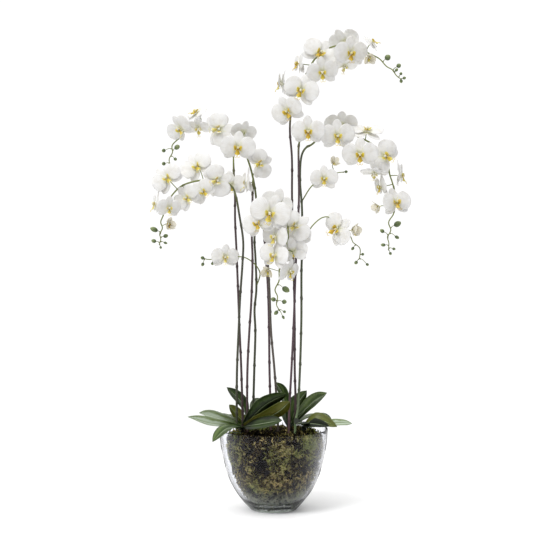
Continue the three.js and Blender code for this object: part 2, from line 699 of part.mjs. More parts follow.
// Brings a spray forwards (negative) or takes it back by a share of its reach to the side.
function swayed(description) {
  const { route, arching, blooms, openings = [], buds = [], shoots = [], sway = 0 } = description;
  const start = route[arching - 1][0];
  const move = ([across, height, depth]) => [across, height, depth + sway * Math.abs(across - start)];
  const moveFirst = ([spot, ...rest]) => [move(spot), ...rest];
  const moveNamed = (named = {}) => Object.fromEntries(
    Object.entries(named).map(([name, bloom]) => [name, moveFirst(bloom)]));
  const moveShoot = (shoot) => ({
    ...shoot,
    route: shoot.route.map(move),
    blooms: moveNamed(shoot.blooms),
    fused: (shoot.fused ?? []).map(moveFirst),
    openings: (shoot.openings ?? []).map(moveFirst),
    buds: shoot.buds.map(moveFirst),
  });
  return {
    ...description,
    route: route.map((spot, index) => (index < arching ? spot : move(spot))),
    blooms: moveNamed(blooms),
    openings: openings.map(moveFirst),
    buds: buds.map(moveFirst),
    shoots: shoots.map(moveShoot),
  };
}

function rosette({ name, crown: spot, leaves }) {
  return piece(name, toGeometry(join([crown(spot), ...leaves.map(leaf)])), LEAF);
}

function bloomGeometry([spot, turn, size]) {
  return placed(FULL_BLOOM, place(spot), turn, size);
}

// What one stretch of stem carries: stalks to its blooms, fused blooms, opening blooms and buds
function carried(rings, { blooms = {}, fused = [], openings = [], buds = [] }) {
  const stalkTo = ([spot, turn, size], gap) => {
    const centre = place(spot);
    const behind = centre.clone().add(new THREE.Vector3(0, 25, 0).applyEuler(turned(turn)));
    return stalk(nearest(rings, behind), centre, turn, size, gap);
  };
  const stalks = Object.values(blooms).map((bloom) => stalkTo(bloom, CLEARANCE));
  const whole = fused.flatMap((bloom) => [stalkTo(bloom, -FUSED_DEPTH), bloomGeometry(bloom)]);
  const opened = openings.flatMap(([spot, ...form]) => opening(nearest(rings, place(spot)), place(spot), ...form));
  const shut = buds.flatMap(([spot, ...form]) => bud(nearest(rings, place(spot)), place(spot), ...form));
  return [...stalks, ...whole, ...opened, ...shut];
}

function stem(description) {
  const rings = ringPoints(description.route, description.arching);
  const radii = taper(rings, STEM_RADIUS, STEM_TIP_RADIUS);
  const shoots = (description.shoots ?? []).flatMap((shoot) => {
    const points = ringPoints(shoot.route, 0);
    return [tube(points, taper(points, SHOOT_RADIUS, STALK_RADIUS), SHOOT_SIDES), ...carried(points, shoot)];
  });
  const main = rings.slice(description.arching - 1);
  const pieces = [tube(rings, radii, STEM_SIDES), ...shoots, ...carried(main, description)];
  return piece(description.name, toGeometry(join(pieces)), STEM);
}

function holeFor({ route, arching }) {
  const rings = ringPoints(route, arching).slice(0, 4);
  rings[0].z -= HOLE_CLEARANCE;
  return evenTube(rings, STEM_RADIUS + HOLE_CLEARANCE, STEM_SIDES);
}

function bloomPieces({ blooms, shoots = [] }) {
  const all = Object.assign({}, blooms, ...shoots.map((shoot) => shoot.blooms));
  return Object.entries(all).map(([name, bloom]) => piece(`bloom_${name}`, bloomGeometry(bloom), PETAL));
}

const group = new THREE.Group();
const stems = STEMS.map(swayed);
const holes = [...stems.map(holeFor), ...ROSETTES.map(({ crown: spot }) => crown(spot, HOLE_CLEARANCE))];
group.add(vase(), moss(holes), ...ROSETTES.map(rosette), ...stems.map(stem), ...stems.flatMap(bloomPieces));
export default group;
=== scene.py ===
"""A white moth orchid in a clear glass vase: moss, four rosettes of leaves and nine arching flower stems.

The tables and the shape helpers hold millimetres, +Z up and seen from -Y, with the origin in the middle
of the vase's flat base. A piece turns them into metres when it becomes a mesh.
"""
import logging
import math
from collections.abc import Callable
from dataclasses import dataclass, field
from enum import Enum

import bpy
import numpy as np
from mathutils import Matrix, Vector, noise


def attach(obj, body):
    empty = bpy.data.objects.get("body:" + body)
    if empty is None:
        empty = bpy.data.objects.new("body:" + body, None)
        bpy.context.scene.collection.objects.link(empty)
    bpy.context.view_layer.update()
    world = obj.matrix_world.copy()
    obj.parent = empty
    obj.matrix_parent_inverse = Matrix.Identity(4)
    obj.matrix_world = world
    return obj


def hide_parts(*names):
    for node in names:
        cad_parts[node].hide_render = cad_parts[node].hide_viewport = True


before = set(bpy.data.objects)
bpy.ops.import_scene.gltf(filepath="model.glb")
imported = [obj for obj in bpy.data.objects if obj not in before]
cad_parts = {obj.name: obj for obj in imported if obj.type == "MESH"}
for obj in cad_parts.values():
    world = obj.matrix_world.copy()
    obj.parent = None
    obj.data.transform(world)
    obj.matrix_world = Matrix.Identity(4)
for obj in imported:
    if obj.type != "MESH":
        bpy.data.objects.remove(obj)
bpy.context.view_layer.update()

LOG = logging.getLogger("orchid")
MM = 0.001
BODY = "root"

Point = tuple[float, float, float]
Colour = tuple[float, float, float, float]

# The photograph's eye. Places in the tables were read in the plane through the vase's middle.
EYE = np.array([4.5, -4100.0, 900.0])
TARGET = (0.0045, 0.0, 0.7077)
FIELD_OF_VIEW = 22.75


def rgb(code: str) -> Colour:
    """A colour for a shader from its six-figure web code.

    Args:
        code: Two figures each for red, green and blue.

    Returns:
        The colour as linear light, with an alpha of 1.
    """
    parts = [int(code[at:at + 2], 16) / 255 for at in (0, 2, 4)]
    linear = [part / 12.92 if part <= 0.04045 else ((part + 0.055) / 1.055) ** 2.4 for part in parts]
    return (*linear, 1.0)


# Shapes


def unit(vectors: np.ndarray) -> np.ndarray:
    """The same vectors with a length of one."""
    return vectors / np.maximum(np.linalg.norm(vectors, axis=-1, keepdims=True), 1e-9)


def smooth_step(value: np.ndarray | float, low: float, high: float) -> np.ndarray:
    """A soft step from 0 at low to 1 at high."""
    share = np.clip((np.asarray(value, float) - low) / (high - low), 0, 1)
    return share * share * (3 - 2 * share)


def place(spot: Point) -> np.ndarray:
    """Carries a place, seen in the middle plane as across and height, along the sight line to its depth."""
    across, height, depth = spot
    return EYE + (np.array([across, 0.0, height]) - EYE) * (1 - depth / EYE[1])


class Curve:
    """A centripetal Catmull-Rom curve through a few points, of any dimension."""

    def __init__(self, points: list | np.ndarray) -> None:
        """Takes the points, and adds one past each end that carries the end's direction on.

        Args:
            points: The points that it runs through.
        """
        inner = np.asarray(points, float)
        self.spans = len(inner) - 1
        self.points = np.vstack([2 * inner[0] - inner[1], inner, 2 * inner[-1] - inner[-2]])

    def at(self, shares: np.ndarray | list | float) -> np.ndarray:
        """Points along the curve.

        Args:
            shares: Shares of the way from 0 to 1; each point of the list is one step further.

        Returns:
            A point for each share.
        """
        spot = np.clip(np.atleast_1d(np.asarray(shares, float)), 0, 1) * self.spans
        index = np.minimum(spot.astype(int), self.spans - 1)
        part = (spot - index)[:, None]
        before, start, end, after = (self.points[index + step] for step in range(4))
        gaps = [np.sqrt(np.linalg.norm(b - a, axis=1, keepdims=True)) + 1e-9
                for a, b in ((before, start), (start, end), (end, after))]
        leave = (start - before) / gaps[0] - (end - before) / (gaps[0] + gaps[1]) + (end - start) / gaps[1]
        reach = (end - start) / gaps[1] - (after - start) / (gaps[1] + gaps[2]) + (after - end) / gaps[2]
        leave, reach = leave * gaps[1], reach * gaps[1]
        bend = 2 * (start - end) + leave + reach
        lift = 3 * (end - start) - 2 * leave - reach
        return ((bend * part + lift) * part + leave) * part + start

    def even(self, step: float) -> tuple[np.ndarray, np.ndarray]:
        """Points at even distances along the curve.

        Args:
            step: About how far apart they are.

        Returns:
            The points, and the share of the way of each.
        """
        shares = np.linspace(0, 1, 24 * self.spans + 1)
        lengths = np.linalg.norm(np.diff(self.at(shares), axis=0), axis=1)
        walked = np.concatenate([[0], np.cumsum(lengths)])
        count = max(int(walked[-1] / step), 2)
        picked = np.interp(np.linspace(0, walked[-1], count + 1), walked, shares)
        return self.at(picked), picked


@dataclass
class Shape:
    """One closed surface: its points, its faces by point number, and values that its finish reads."""

    points: np.ndarray
    faces: list[np.ndarray]
    values: dict[str, np.ndarray] = field(default_factory=dict)

    def moved(self, turn: np.ndarray, size: float, centre: np.ndarray) -> "Shape":
        """The same shape, sized, turned and carried to a centre."""
        return Shape(self.points * size @ turn.T + centre, self.faces, self.values)

    def with_value(self, name: str, value: float | np.ndarray) -> "Shape":
        """The same shape with one more value at its points."""
        return Shape(self.points, self.faces, {**self.values, name: np.full(len(self.points), value)})


def grid_faces(rows: int, columns: int, closed: bool = False) -> np.ndarray:
    """Four-sided faces of a grid of points that is stored row by row.

    Args:
        rows: The number of rows of points.
        columns: The number of points in a row.
        closed: Whether each row is a ring.

    Returns:
        Point numbers, four for each face.
    """
    across = columns if closed else columns - 1
    row, column = np.meshgrid(np.arange(rows - 1), np.arange(across), indexing="ij")
    here, beside = row * columns + column, row * columns + (column + 1) % columns
    return np.stack([here, here + columns, beside + columns, beside], axis=-1).reshape(-1, 4)


def blade(middle: np.ndarray, half: np.ndarray, values: dict[str, np.ndarray]) -> Shape:
    """A thin closed blade about a middle surface.

    Args:
        middle: A grid of points, rows by columns.
        half: Half of the blade's thickness at each point of the grid.
        values: Values at each point of the grid, which both faces carry.

    Returns:
        The blade, with a front, a back and a rim.
    """
    rows, columns = half.shape
    normal = unit(np.cross(np.gradient(middle, axis=0), np.gradient(middle, axis=1)))
    offset = normal * half[..., None]
    points = np.concatenate([(middle + offset).reshape(-1, 3), (middle - offset).reshape(-1, 3)])
    front = grid_faces(rows, columns)
    number = np.arange(rows * columns).reshape(rows, columns)
    edge = np.concatenate([number[:, 0], number[-1, 1:], number[-2::-1, -1], number[0, -2:0:-1]])
    after = np.roll(edge, -1)
    rim = np.stack([after, edge, edge + number.size, after + number.size], axis=1)
    both = {name: np.tile(np.broadcast_to(value, half.shape).ravel(), 2) for name, value in values.items()}
    return Shape(points, [front, front[:, ::-1] + number.size, rim], both)


def sweep(path: np.ndarray, radii: np.ndarray | float, sides: int,
          values: dict[str, np.ndarray] | None = None, ridges: float = 0.0) -> Shape:
    """A closed round tube along a path.

    Args:
        path: The points of the tube's middle line.
        radii: The radius at each point, or one for all.
        sides: The number of points round the tube.
        values: Values at each point of the path.
        ridges: How far three ridges along the tube stand out, as a share of its radius.

    Returns:
        The tube, closed at both ends. Its value "seam" runs from 0 in a furrow to 1 on a ridge.
    """
    radii = np.broadcast_to(np.asarray(radii, float), len(path))
    tangents = unit(np.gradient(path, axis=0))
    across = np.zeros_like(path)
    guide = np.array([1.0, 0, 0]) if abs(tangents[0, 0]) < 0.8 else np.array([0, 1.0, 0])
    for ring, tangent in enumerate(tangents):
        guide = guide - tangent * guide.dot(tangent)
        guide = guide / np.linalg.norm(guide)
        across[ring] = guide
    other = np.cross(tangents, across)
    angle = np.linspace(0, 2 * math.pi, sides, endpoint=False)
    reach = radii[:, None, None] * (1 + ridges * np.cos(3 * angle))[None, :, None]
    rings = path[:, None] + reach * (across[:, None] * np.cos(angle)[None, :, None]
                                     + other[:, None] * np.sin(angle)[None, :, None])
    count = rings.shape[0] * sides
    points = np.concatenate([rings.reshape(-1, 3), path[:1], path[-1:]])
    ring = np.arange(sides)
    turned = np.roll(ring, -1)
    start_cap = np.stack([ring, turned, np.full(sides, count)], axis=1)
    last = count - sides
    end_cap = np.stack([turned + last, ring + last, np.full(sides, count + 1)], axis=1)
    carried = {name: np.concatenate([np.repeat(value, sides), value[:1], value[-1:]])
               for name, value in (values or {}).items()}
    seam = np.concatenate([np.tile(0.5 + 0.5 * np.cos(3 * angle), len(path)), [0.5, 0.5]])
    wall = grid_faces(len(path), sides, closed=True)
    return Shape(points, [block[:, ::-1] for block in (wall, start_cap, end_cap)], {**carried, "seam": seam})


def lathe(profile: np.ndarray, segments: int) -> tuple[np.ndarray, np.ndarray]:
    """Turns a profile of radius and height, which starts and ends on the axis.

    Args:
        profile: Radius and height, from the foot outside up and round to the axis again.
        segments: The number of points in each ring.

    Returns:
        The rings of points, and the four-sided faces between them.
    """
    angle = np.linspace(0, 2 * math.pi, segments, endpoint=False)
    radius, height = profile[:, :1], profile[:, 1:]
    rings = np.stack([radius * np.cos(angle), radius * np.sin(angle), height + 0 * angle], axis=-1)
    return rings, grid_faces(len(profile), segments, closed=True)[:, ::-1]


class Outline:
    """A smooth closed outline round a middle, which is read as a radius at any angle."""

    def __init__(self, middle: float, knots: list[tuple[float, float]]) -> None:
        """Takes the knots and finds the radius at each angle.

        Args:
            middle: How far out along the centre line its middle lies.
            knots: Length and side of each knot.
        """
        ring = np.array(knots, float)
        curve = Curve(np.vstack([ring[-2:], ring, ring[:2]]))
        spots = curve.at(np.linspace(1 / curve.spans, 1 - 1 / curve.spans, 240)) - [middle, 0]
        angles = np.arctan2(spots[:, 1], spots[:, 0])
        order = np.argsort(angles)
        self.middle = middle
        self.angles = angles[order]
        self.radii = np.linalg.norm(spots, axis=1)[order]

    def disc(self, count: int) -> tuple[np.ndarray, np.ndarray, np.ndarray]:
        """A square grid of points stretched over the outline.

        Args:
            count: The number of points along each side of the grid.

        Returns:
            The length and the side of each point, and its share of the way to the outline.
        """
        u, v = np.meshgrid(np.linspace(-1, 1, count), np.linspace(-1, 1, count), indexing="ij")
        x, y = u * np.sqrt(1 - v * v / 2), v * np.sqrt(1 - u * u / 2)
        share, angle = np.hypot(x, y), np.arctan2(y, x)
        radius = np.interp(angle, self.angles, self.radii, period=2 * math.pi)
        return self.middle + radius * share * np.cos(angle), radius * share * np.sin(angle), share


class Piece:
    """One object of the scene: it gathers shapes and becomes a mesh that rides on the part's one body."""

    def __init__(self, name: str, slot: str, *nodes: str) -> None:
        """Starts a piece without shapes.

        Args:
            name: The piece's name.
            slot: The record's slot of its finish; it is kept but not used.
            nodes: The nodes it stands for.
        """
        self.name = name
        self.slot = slot
        self.nodes = nodes
        self.shapes: list[tuple[Shape, int]] = []

    def add(self, *shapes: Shape, finish: int = 0) -> "Piece":
        """Adds shapes, with the number of the material that they wear."""
        self.shapes.extend((shape, finish) for shape in shapes)
        return self

    def make(self, *materials: bpy.types.Material) -> bpy.types.Object:
        """Builds the mesh and its object, and has it ride on the body.

        Args:
            materials: The materials that the shapes' finish numbers count.

        Returns:
            The new object.
        """
        mesh = bpy.data.meshes.new(self.name)
        offsets = np.cumsum([0] + [len(shape.points) for shape, _ in self.shapes])
        points = np.concatenate([shape.points for shape, _ in self.shapes]) * MM
        faces = [(block + offset, finish) for (shape, finish), offset in zip(self.shapes, offsets)
                 for block in shape.faces]
        sizes = np.concatenate([np.full(len(block), block.shape[1]) for block, _ in faces])
        loops = np.concatenate([block.ravel() for block, _ in faces])
        mesh.vertices.add(len(points))
        mesh.vertices.foreach_set("co", points.astype(np.float32).ravel())
        mesh.loops.add(len(loops))
        mesh.loops.foreach_set("vertex_index", loops.astype(np.int32))
        mesh.polygons.add(len(sizes))
        mesh.polygons.foreach_set("loop_start", np.concatenate([[0], np.cumsum(sizes)[:-1]]).astype(np.int32))
        finishes = np.concatenate([np.full(len(block), finish) for block, finish in faces])
        mesh.polygons.foreach_set("material_index", finishes.astype(np.int32))
        mesh.polygons.foreach_set("use_smooth", np.ones(len(sizes), bool))
        for name in sorted({name for shape, _ in self.shapes for name in shape.values}):
            value = np.concatenate([shape.values.get(name, np.zeros(len(shape.points)))
                                    for shape, _ in self.shapes])
            layer = mesh.attributes.new(name, "FLOAT", "POINT")
            layer.data.foreach_set("value", value.astype(np.float32))
        mesh.update(calc_edges=True)
        for material in materials:
            mesh.materials.append(material)
        piece = bpy.data.objects.new(self.name, mesh)
        bpy.context.scene.collection.objects.link(piece)
        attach(piece, BODY)
        if self.nodes:
            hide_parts(*self.nodes)
        LOG.info("%s: %d faces", self.name, len(sizes))
        return piece


# Shaders


class Wire:
    """The output of a node. Arithmetic on wires adds the Math nodes that it needs."""

    def __init__(self, graph: "Graph", socket: bpy.types.NodeSocket) -> None:
        """Takes the graph and the socket that the wire comes out of."""
        self.graph = graph
        self.socket = socket

    def math(self, operation: str, *values: "Wire | float") -> "Wire":
        """One Math node on these values."""
        return self.graph.add("ShaderNodeMath", {"operation": operation}, dict(enumerate(values)))

    def __add__(self, other: "Wire | float") -> "Wire":
        """The sum."""
        return self.math("ADD", self, other)

    __radd__ = __add__

    def __sub__(self, other: "Wire | float") -> "Wire":
        """The difference."""
        return self.math("SUBTRACT", self, other)

    def __rsub__(self, other: float) -> "Wire":
        """The difference from a number."""
        return self.math("SUBTRACT", other, self)

    def __mul__(self, other: "Wire | float") -> "Wire":
        """The product."""
        return self.math("MULTIPLY", self, other)

    def __pow__(self, other: float) -> "Wire":
        """The power."""
        return self.math("POWER", self, other)

    def size(self) -> "Wire":
        """The value without its sign."""
        return self.math("ABSOLUTE", self)

    def ripple(self) -> "Wire":
        """The sine, brought between 0 and 1."""
        return self.math("SINE", self) * 0.5 + 0.5

    def step(self, low: float, high: float) -> "Wire":
        """A soft step from 0 at low to 1 at high."""
        return self.graph.add("ShaderNodeMapRange", {"interpolation_type": "SMOOTHSTEP"},
                              {"Value": self, "From Min": low, "From Max": high})


class Graph:
    """The node tree of a material or of the world."""

    def __init__(self, tree: bpy.types.NodeTree) -> None:
        """Takes the tree and empties it."""
        self.tree = tree
        tree.nodes.clear()

    def add(self, kind: str, settings: dict | None = None, inputs: dict | None = None,
            output: int | str = 0) -> Wire:
        """Adds a node.

        Args:
            kind: The node's type.
            settings: Its own settings, which are set first; "stops" are a ramp's places and colours.
            inputs: A value or a wire for each socket, by name or number.
            output: The socket that is given back, by name or number.

        Returns:
            The wire out of the node.
        """
        node = self.tree.nodes.new(kind)
        for name, value in (settings or {}).items():
            if name == "stops":
                self.set_stops(node.color_ramp, value)
            else:
                setattr(node, name, value)
        for name, value in (inputs or {}).items():
            if isinstance(value, Wire):
                self.tree.links.new(value.socket, node.inputs[name])
            else:
                node.inputs[name].default_value = value
        return Wire(self, node.outputs[output]) if node.outputs else Wire(self, None)

    @staticmethod
    def set_stops(ramp: bpy.types.ColorRamp, stops: list[tuple[float, Colour]]) -> None:
        """Gives a colour ramp its places and colours.

        Args:
            ramp: The ramp.
            stops: A place and a colour for each stop.
        """
        while len(ramp.elements) < len(stops):
            ramp.elements.new(1.0)
        for element, (spot, colour) in zip(ramp.elements, stops):
            element.position = spot
            element.color = colour

    def point_value(self, name: str) -> Wire:
        """A value that the mesh holds at its points."""
        return self.add("ShaderNodeAttribute", {"attribute_name": name}, output="Fac")

    def noise(self, scale: float, detail: float = 2.0, stretch: Point = (1, 1, 1)) -> Wire:
        """Soft noise in the object's own space.

        Args:
            scale: How many humps it has in a metre.
            detail: How many finer layers it has.
            stretch: What each axis is multiplied by.

        Returns:
            The noise, about 0.5.
        """
        spot = self.add("ShaderNodeTexCoord", output="Object")
        if stretch != (1, 1, 1):
            spot = self.add("ShaderNodeVectorMath", {"operation": "MULTIPLY"}, {0: spot, 1: stretch})
        return self.add("ShaderNodeTexNoise", inputs={"Vector": spot, "Scale": scale, "Detail": detail})

    def place(self, axis: str) -> Wire:
        """The place along one axis in the object's own space, in metres."""
        spot = self.add("ShaderNodeTexCoord", output="Object")
        return self.add("ShaderNodeSeparateXYZ", inputs={"Vector": spot}, output=axis)

    def mix(self, share: Wire | float, low: Wire | Colour, high: Wire | Colour) -> Wire:
        """One colour turned into another by a share."""
        return self.add("ShaderNodeMix", {"data_type": "RGBA"}, {0: share, 6: low, 7: high}, output=2)

    def ramp(self, value: Wire, stops: list[tuple[float, Colour]]) -> Wire:
        """A colour that depends on a value."""
        return self.add("ShaderNodeValToRGB", {"stops": stops}, {"Fac": value})

    def bump(self, height: Wire, distance: float, strength: float = 1.0) -> Wire:
        """A normal from a height, with the height's full range in metres."""
        values = {"Height": height, "Distance": distance, "Strength": strength}
        return self.add("ShaderNodeBump", inputs=values)


@dataclass(frozen=True)
class Finish:
    """A finish of the orchid or its vase."""

    name: str

    def sockets(self, graph: Graph) -> dict[str, Wire | float | Colour]:
        """What goes into the shader's sockets."""
        raise NotImplementedError

    def surface(self, graph: Graph) -> Wire:
        """The shader that covers the surface."""
        return graph.add("ShaderNodeBsdfPrincipled", inputs=self.sockets(graph))

    def material(self) -> bpy.types.Material:
        """Builds the finish as a material.

        Returns:
            The new material.
        """
        material = bpy.data.materials.new(self.name)
        material.use_nodes = True
        graph = Graph(material.node_tree)
        graph.add("ShaderNodeOutputMaterial", inputs={"Surface": self.surface(graph)})
        return material


@dataclass(frozen=True)
class GlassFinish(Finish):
    """Clear blown glass, with a faint waviness and hardly any tint of its own. It has painted grey shade
    where it is seen edge on, a grey-green foot that is partly the thick glass's tint and partly painted
    shade, and painted dark reflection lines at its edges. Lamps shine through it.
    """

    tint: Colour = rgb("f6f7fb")
    # edge is a painted shade colour; foot is partly the thick glass's own tint and partly painted shade.
    edge: Colour = rgb("6e6e72")
    foot: Colour = rgb("9aa29b")
    gloss: Colour = rgb("707078")
    # line is the colour of the painted dark reflection lines at the edges.
    line: Colour = rgb("34353a")
    refraction: float = 1.47

    def sockets(self, graph: Graph) -> dict[str, Wire | float | Colour]:
        """Clear, smooth and slightly wavy, with painted grey shade where it is seen edge on, and a grey-green
        foot that is partly painted shade.

        Args:
            graph: The material's nodes.

        Returns:
            A value or a wire for each socket.
        """
        waves = graph.noise(14, 1.0)
        height = graph.place("Z")
        grazing = graph.add("ShaderNodeLayerWeight", inputs={"Blend": 0.5}, output="Facing")
        # Painted shade: the glass is greyed where it is seen edge on.
        body = graph.mix(grazing.step(0.5, 0.97), self.tint, self.edge)
        # The foot is tinted grey-green: partly the thick glass's own tint, partly painted shade of the dark
        # floor under the moss.
        return {"Base Color": graph.mix(height.step(0.012, 0.032), self.foot, body), "Roughness": 0.0,
                "IOR": self.refraction, "Transmission Weight": 1.0, "Specular Tint": self.gloss,
                "Normal": graph.bump(waves, 0.0012, 0.35)}

    def surface(self, graph: Graph) -> Wire:
        """Glass to the eye, with a broken line of painted dark reflection where it is seen edge on, and
        nothing to a lamp.

        Args:
            graph: The material's nodes.

        Returns:
            The shader of the glass.
        """
        lamp = graph.add("ShaderNodeLightPath", output="Is Shadow Ray")
        clear = graph.add("ShaderNodeBsdfTransparent", inputs={"Color": rgb("f4f5f7")})
        # A dark see-through shader that paints the dark reflection lines.
        shaded = graph.add("ShaderNodeBsdfTransparent", inputs={"Color": self.line})
        grazing = graph.add("ShaderNodeLayerWeight", inputs={"Blend": 0.5}, output="Facing")
        broken = 0.25 + graph.noise(16, 1.0, (1, 1, 2.2)).step(0.42, 0.6) * 0.75
        # Painted reflection: a broken dark line where the glass is seen edge on.
        painted_line_share = grazing.step(0.74, 0.92) * broken
        with_painted_lines = graph.add("ShaderNodeMixShader", inputs={0: painted_line_share, 1: super().surface(graph), 2: shaded})
        return graph.add("ShaderNodeMixShader", inputs={0: lamp, 1: with_painted_lines, 2: clear})


@dataclass(frozen=True)
class MossFinish(Finish):
    """Dry moss: each point's tone runs from peat black through brown and olive to straw gold."""

    dark: Colour = rgb("110e08")
    brown: Colour = rgb("4a3a22")
    olive: Colour = rgb("7f7846")
    gold: Colour = rgb("cdb67c")
    green: Colour = rgb("7d9445")
    grey: Colour = rgb("a8ad9d")

    def sockets(self, graph: Graph) -> dict[str, Wire | float | Colour]:
        """The tone, broken up by noise, and turned green where the moss is alive.

        Args:
            graph: The material's nodes.

        Returns:
            A value or a wire for each socket.
        """
        broken = graph.point_value("tone") + (graph.noise(190, 4.0) - 0.5) * 1.3
        stops = [(0.12, self.dark), (0.36, self.brown), (0.62, self.olive), (0.92, self.gold)]
        alive = graph.point_value("alive") * broken.step(0.15, 0.9)
        low = (1 - graph.place("Z").step(0.028, 0.085)) * broken.step(-0.2, 0.5) * 0.8
        colour = graph.mix(low, graph.mix(alive, graph.ramp(broken, stops), self.green), self.grey)
        return {"Base Color": colour, "Roughness": 0.95, "Specular IOR Level": 0.08,
                "Normal": graph.bump(graph.noise(900, 5.0), 0.002, 0.8)}


@dataclass(frozen=True)
class LeafFinish(Finish):
    """A waxy strap leaf with a pale midrib and fine veins along it, coloured with painted sheen and shade."""

    # dark serves mostly as painted shade; pale is partly the leaves' own pale sage and partly painted sheen.
    dark: Colour = rgb("10180a")
    middle: Colour = rgb("3b4f22")
    bright: Colour = rgb("66793f")
    pale: Colour = rgb("b6c3b0")
    olive: Colour = rgb("66631c")
    rib: Colour = rgb("a2b38c")

    def sockets(self, graph: Graph) -> dict[str, Wire | float | Colour]:
        """A tone for each leaf that also holds painted sheen and shade, olive where it has aged, with veins
        in colour and relief, painted shade towards its base and on one half, and painted highlights at its
        edges.

        Args:
            graph: The material's nodes.

        Returns:
            A value or a wire for each socket.
        """
        across = graph.point_value("across")
        along = graph.point_value("along")
        cloud = graph.noise(26, 3.0)
        veins = (across * 46 + cloud * 3).ripple()
        streaks = (across * 8 + cloud * 7).ripple()
        # Each leaf's tone is partly its own colour and partly painted sheen and shade.
        leaf_tone_and_shading = graph.point_value("tone")
        tone = leaf_tone_and_shading + (cloud - 0.5) * 0.35 + (veins - 0.5) * 0.12 + (streaks - 0.5) * 0.22
        # Painted shade: one half of the leaf is a little darker than the other, and the leaf is much darker
        # towards its base at the crown.
        tone = tone + across * 0.07 - (1 - along.step(0.0, 0.4)) * 0.4
        stops = [(0.0, self.dark), (0.4, self.middle), (0.68, self.bright), (0.95, self.pale)]
        green = graph.ramp(tone, stops)
        aged = graph.mix(graph.point_value("olive") * (0.55 + cloud * 0.5), green, self.olive)
        rib = (1 - across.size().step(0.015, 0.075)) * (1 - along.step(0.75, 1.0))
        # Painted highlight: the leaf's edges are lightened, as if lit from behind.
        edge = across.size().step(0.93, 1.0) * 0.4
        colour = graph.mix(edge, graph.mix(rib * 0.75, aged, self.rib), self.bright)
        relief = veins * 0.25 - rib * 0.9 + graph.noise(700, 2.0) * 0.12
        dull = 0.84 - leaf_tone_and_shading.step(-0.3, 0.15) * 0.6 + cloud * 0.16
        return {"Base Color": colour, "Roughness": dull, "Specular IOR Level": 0.24, "Coat Weight": 0.06,
                "Coat Roughness": 0.15, "Normal": graph.bump(relief, 0.0008, 1.0)}


@dataclass(frozen=True)
class BarkFinish(Finish):
    """A stem's skin, from its foot to its tip."""

    foot: Colour
    middle: Colour
    tip: Colour = rgb("838d48")
    dark: Colour = rgb("2d241f")

    def sockets(self, graph: Graph) -> dict[str, Wire | float | Colour]:
        """Three colours along the stem, with streaks along it and small dark specks.

        Args:
            graph: The material's nodes.

        Returns:
            A value or a wire for each socket.
        """
        along = graph.point_value("along")
        stops = [(0.0, self.foot), (0.2, self.middle), (0.64, self.middle), (0.82, self.tip)]
        skin = graph.ramp(along, stops)
        streaks = graph.noise(900, 2.0, (1, 1, 0.05))
        specks = graph.noise(650, 2.0).step(0.58, 0.72)
        knots = graph.point_value("knot")
        worn = graph.mix(streaks.step(0.35, 0.8) * 0.35, skin, self.dark)
        colour = graph.mix(specks * 0.35 + knots * 0.5, worn, self.dark)
        return {"Base Color": colour, "Roughness": 0.5 + streaks * 0.2,
                "Normal": graph.bump(streaks + specks * 0.4, 0.0004, 0.8)}


@dataclass(frozen=True)
class BudFinish(Finish):
    """A closed bud: green, darker at its foot, with a paler tip and seams between its sepals."""

    foot: Colour = rgb("46552f")
    middle: Colour = rgb("66764a")
    tip: Colour = rgb("8f9a68")

    def sockets(self, graph: Graph) -> dict[str, Wire | float | Colour]:
        """The colour from foot to tip, with darker seams and fine mottling.

        Args:
            graph: The material's nodes.

        Returns:
            A value or a wire for each socket.
        """
        along = graph.point_value("along") + (graph.noise(300, 3.0) - 0.5) * 0.3
        seam = 1 - graph.point_value("seam").step(0.0, 0.18)
        green = graph.ramp(along, [(0.08, self.foot), (0.45, self.middle), (0.98, self.tip)])
        return {"Base Color": graph.mix(seam * 0.6, green, self.foot), "Roughness": 0.5,
                "Normal": graph.bump(graph.noise(900, 2.0) * 0.3 - seam, 0.0004, 0.8)}


@dataclass(frozen=True)
class PetalFinish(Finish):
    """A soft white petal: faint grey veins that fan out from its claw, and a greenish throat."""

    white: Colour = rgb("f0efed")
    shade: Colour = rgb("dcd8d0")
    throat: Colour = rgb("d5d5a4")
    vein: Colour = rgb("bdbbae")
    vein_share: float = 0.3

    def sockets(self, graph: Graph) -> dict[str, Wire | float | Colour]:
        """White with clouds of warm grey, veined and tinted by the place on the petal.

        Args:
            graph: The material's nodes.

        Returns:
            A value or a wire for each socket.
        """
        reach = graph.point_value("reach")
        cloud = graph.noise(60, 3.0)
        veins = (graph.point_value("fan") * 58 + cloud * 9).ripple() ** 4
        white = graph.mix(cloud.step(0.4, 0.75) * 0.55, self.white, self.shade)
        veined = graph.mix(veins * (1 - reach.step(0.2, 1.0)) * self.vein_share, white, self.vein)
        colour = graph.mix((1 - reach.step(0.06, 0.34)) * 0.75, veined, self.throat)
        relief = veins * 0.7 + graph.noise(1400, 2.0) * 0.5
        return {"Base Color": colour, "Roughness": 0.6 + cloud * 0.15, "Subsurface Weight": 0.22,
                "Subsurface Scale": 0.004, "Subsurface Radius": (1.0, 0.95, 0.85),
                "Normal": graph.bump(relief, 0.00035, 0.7)}


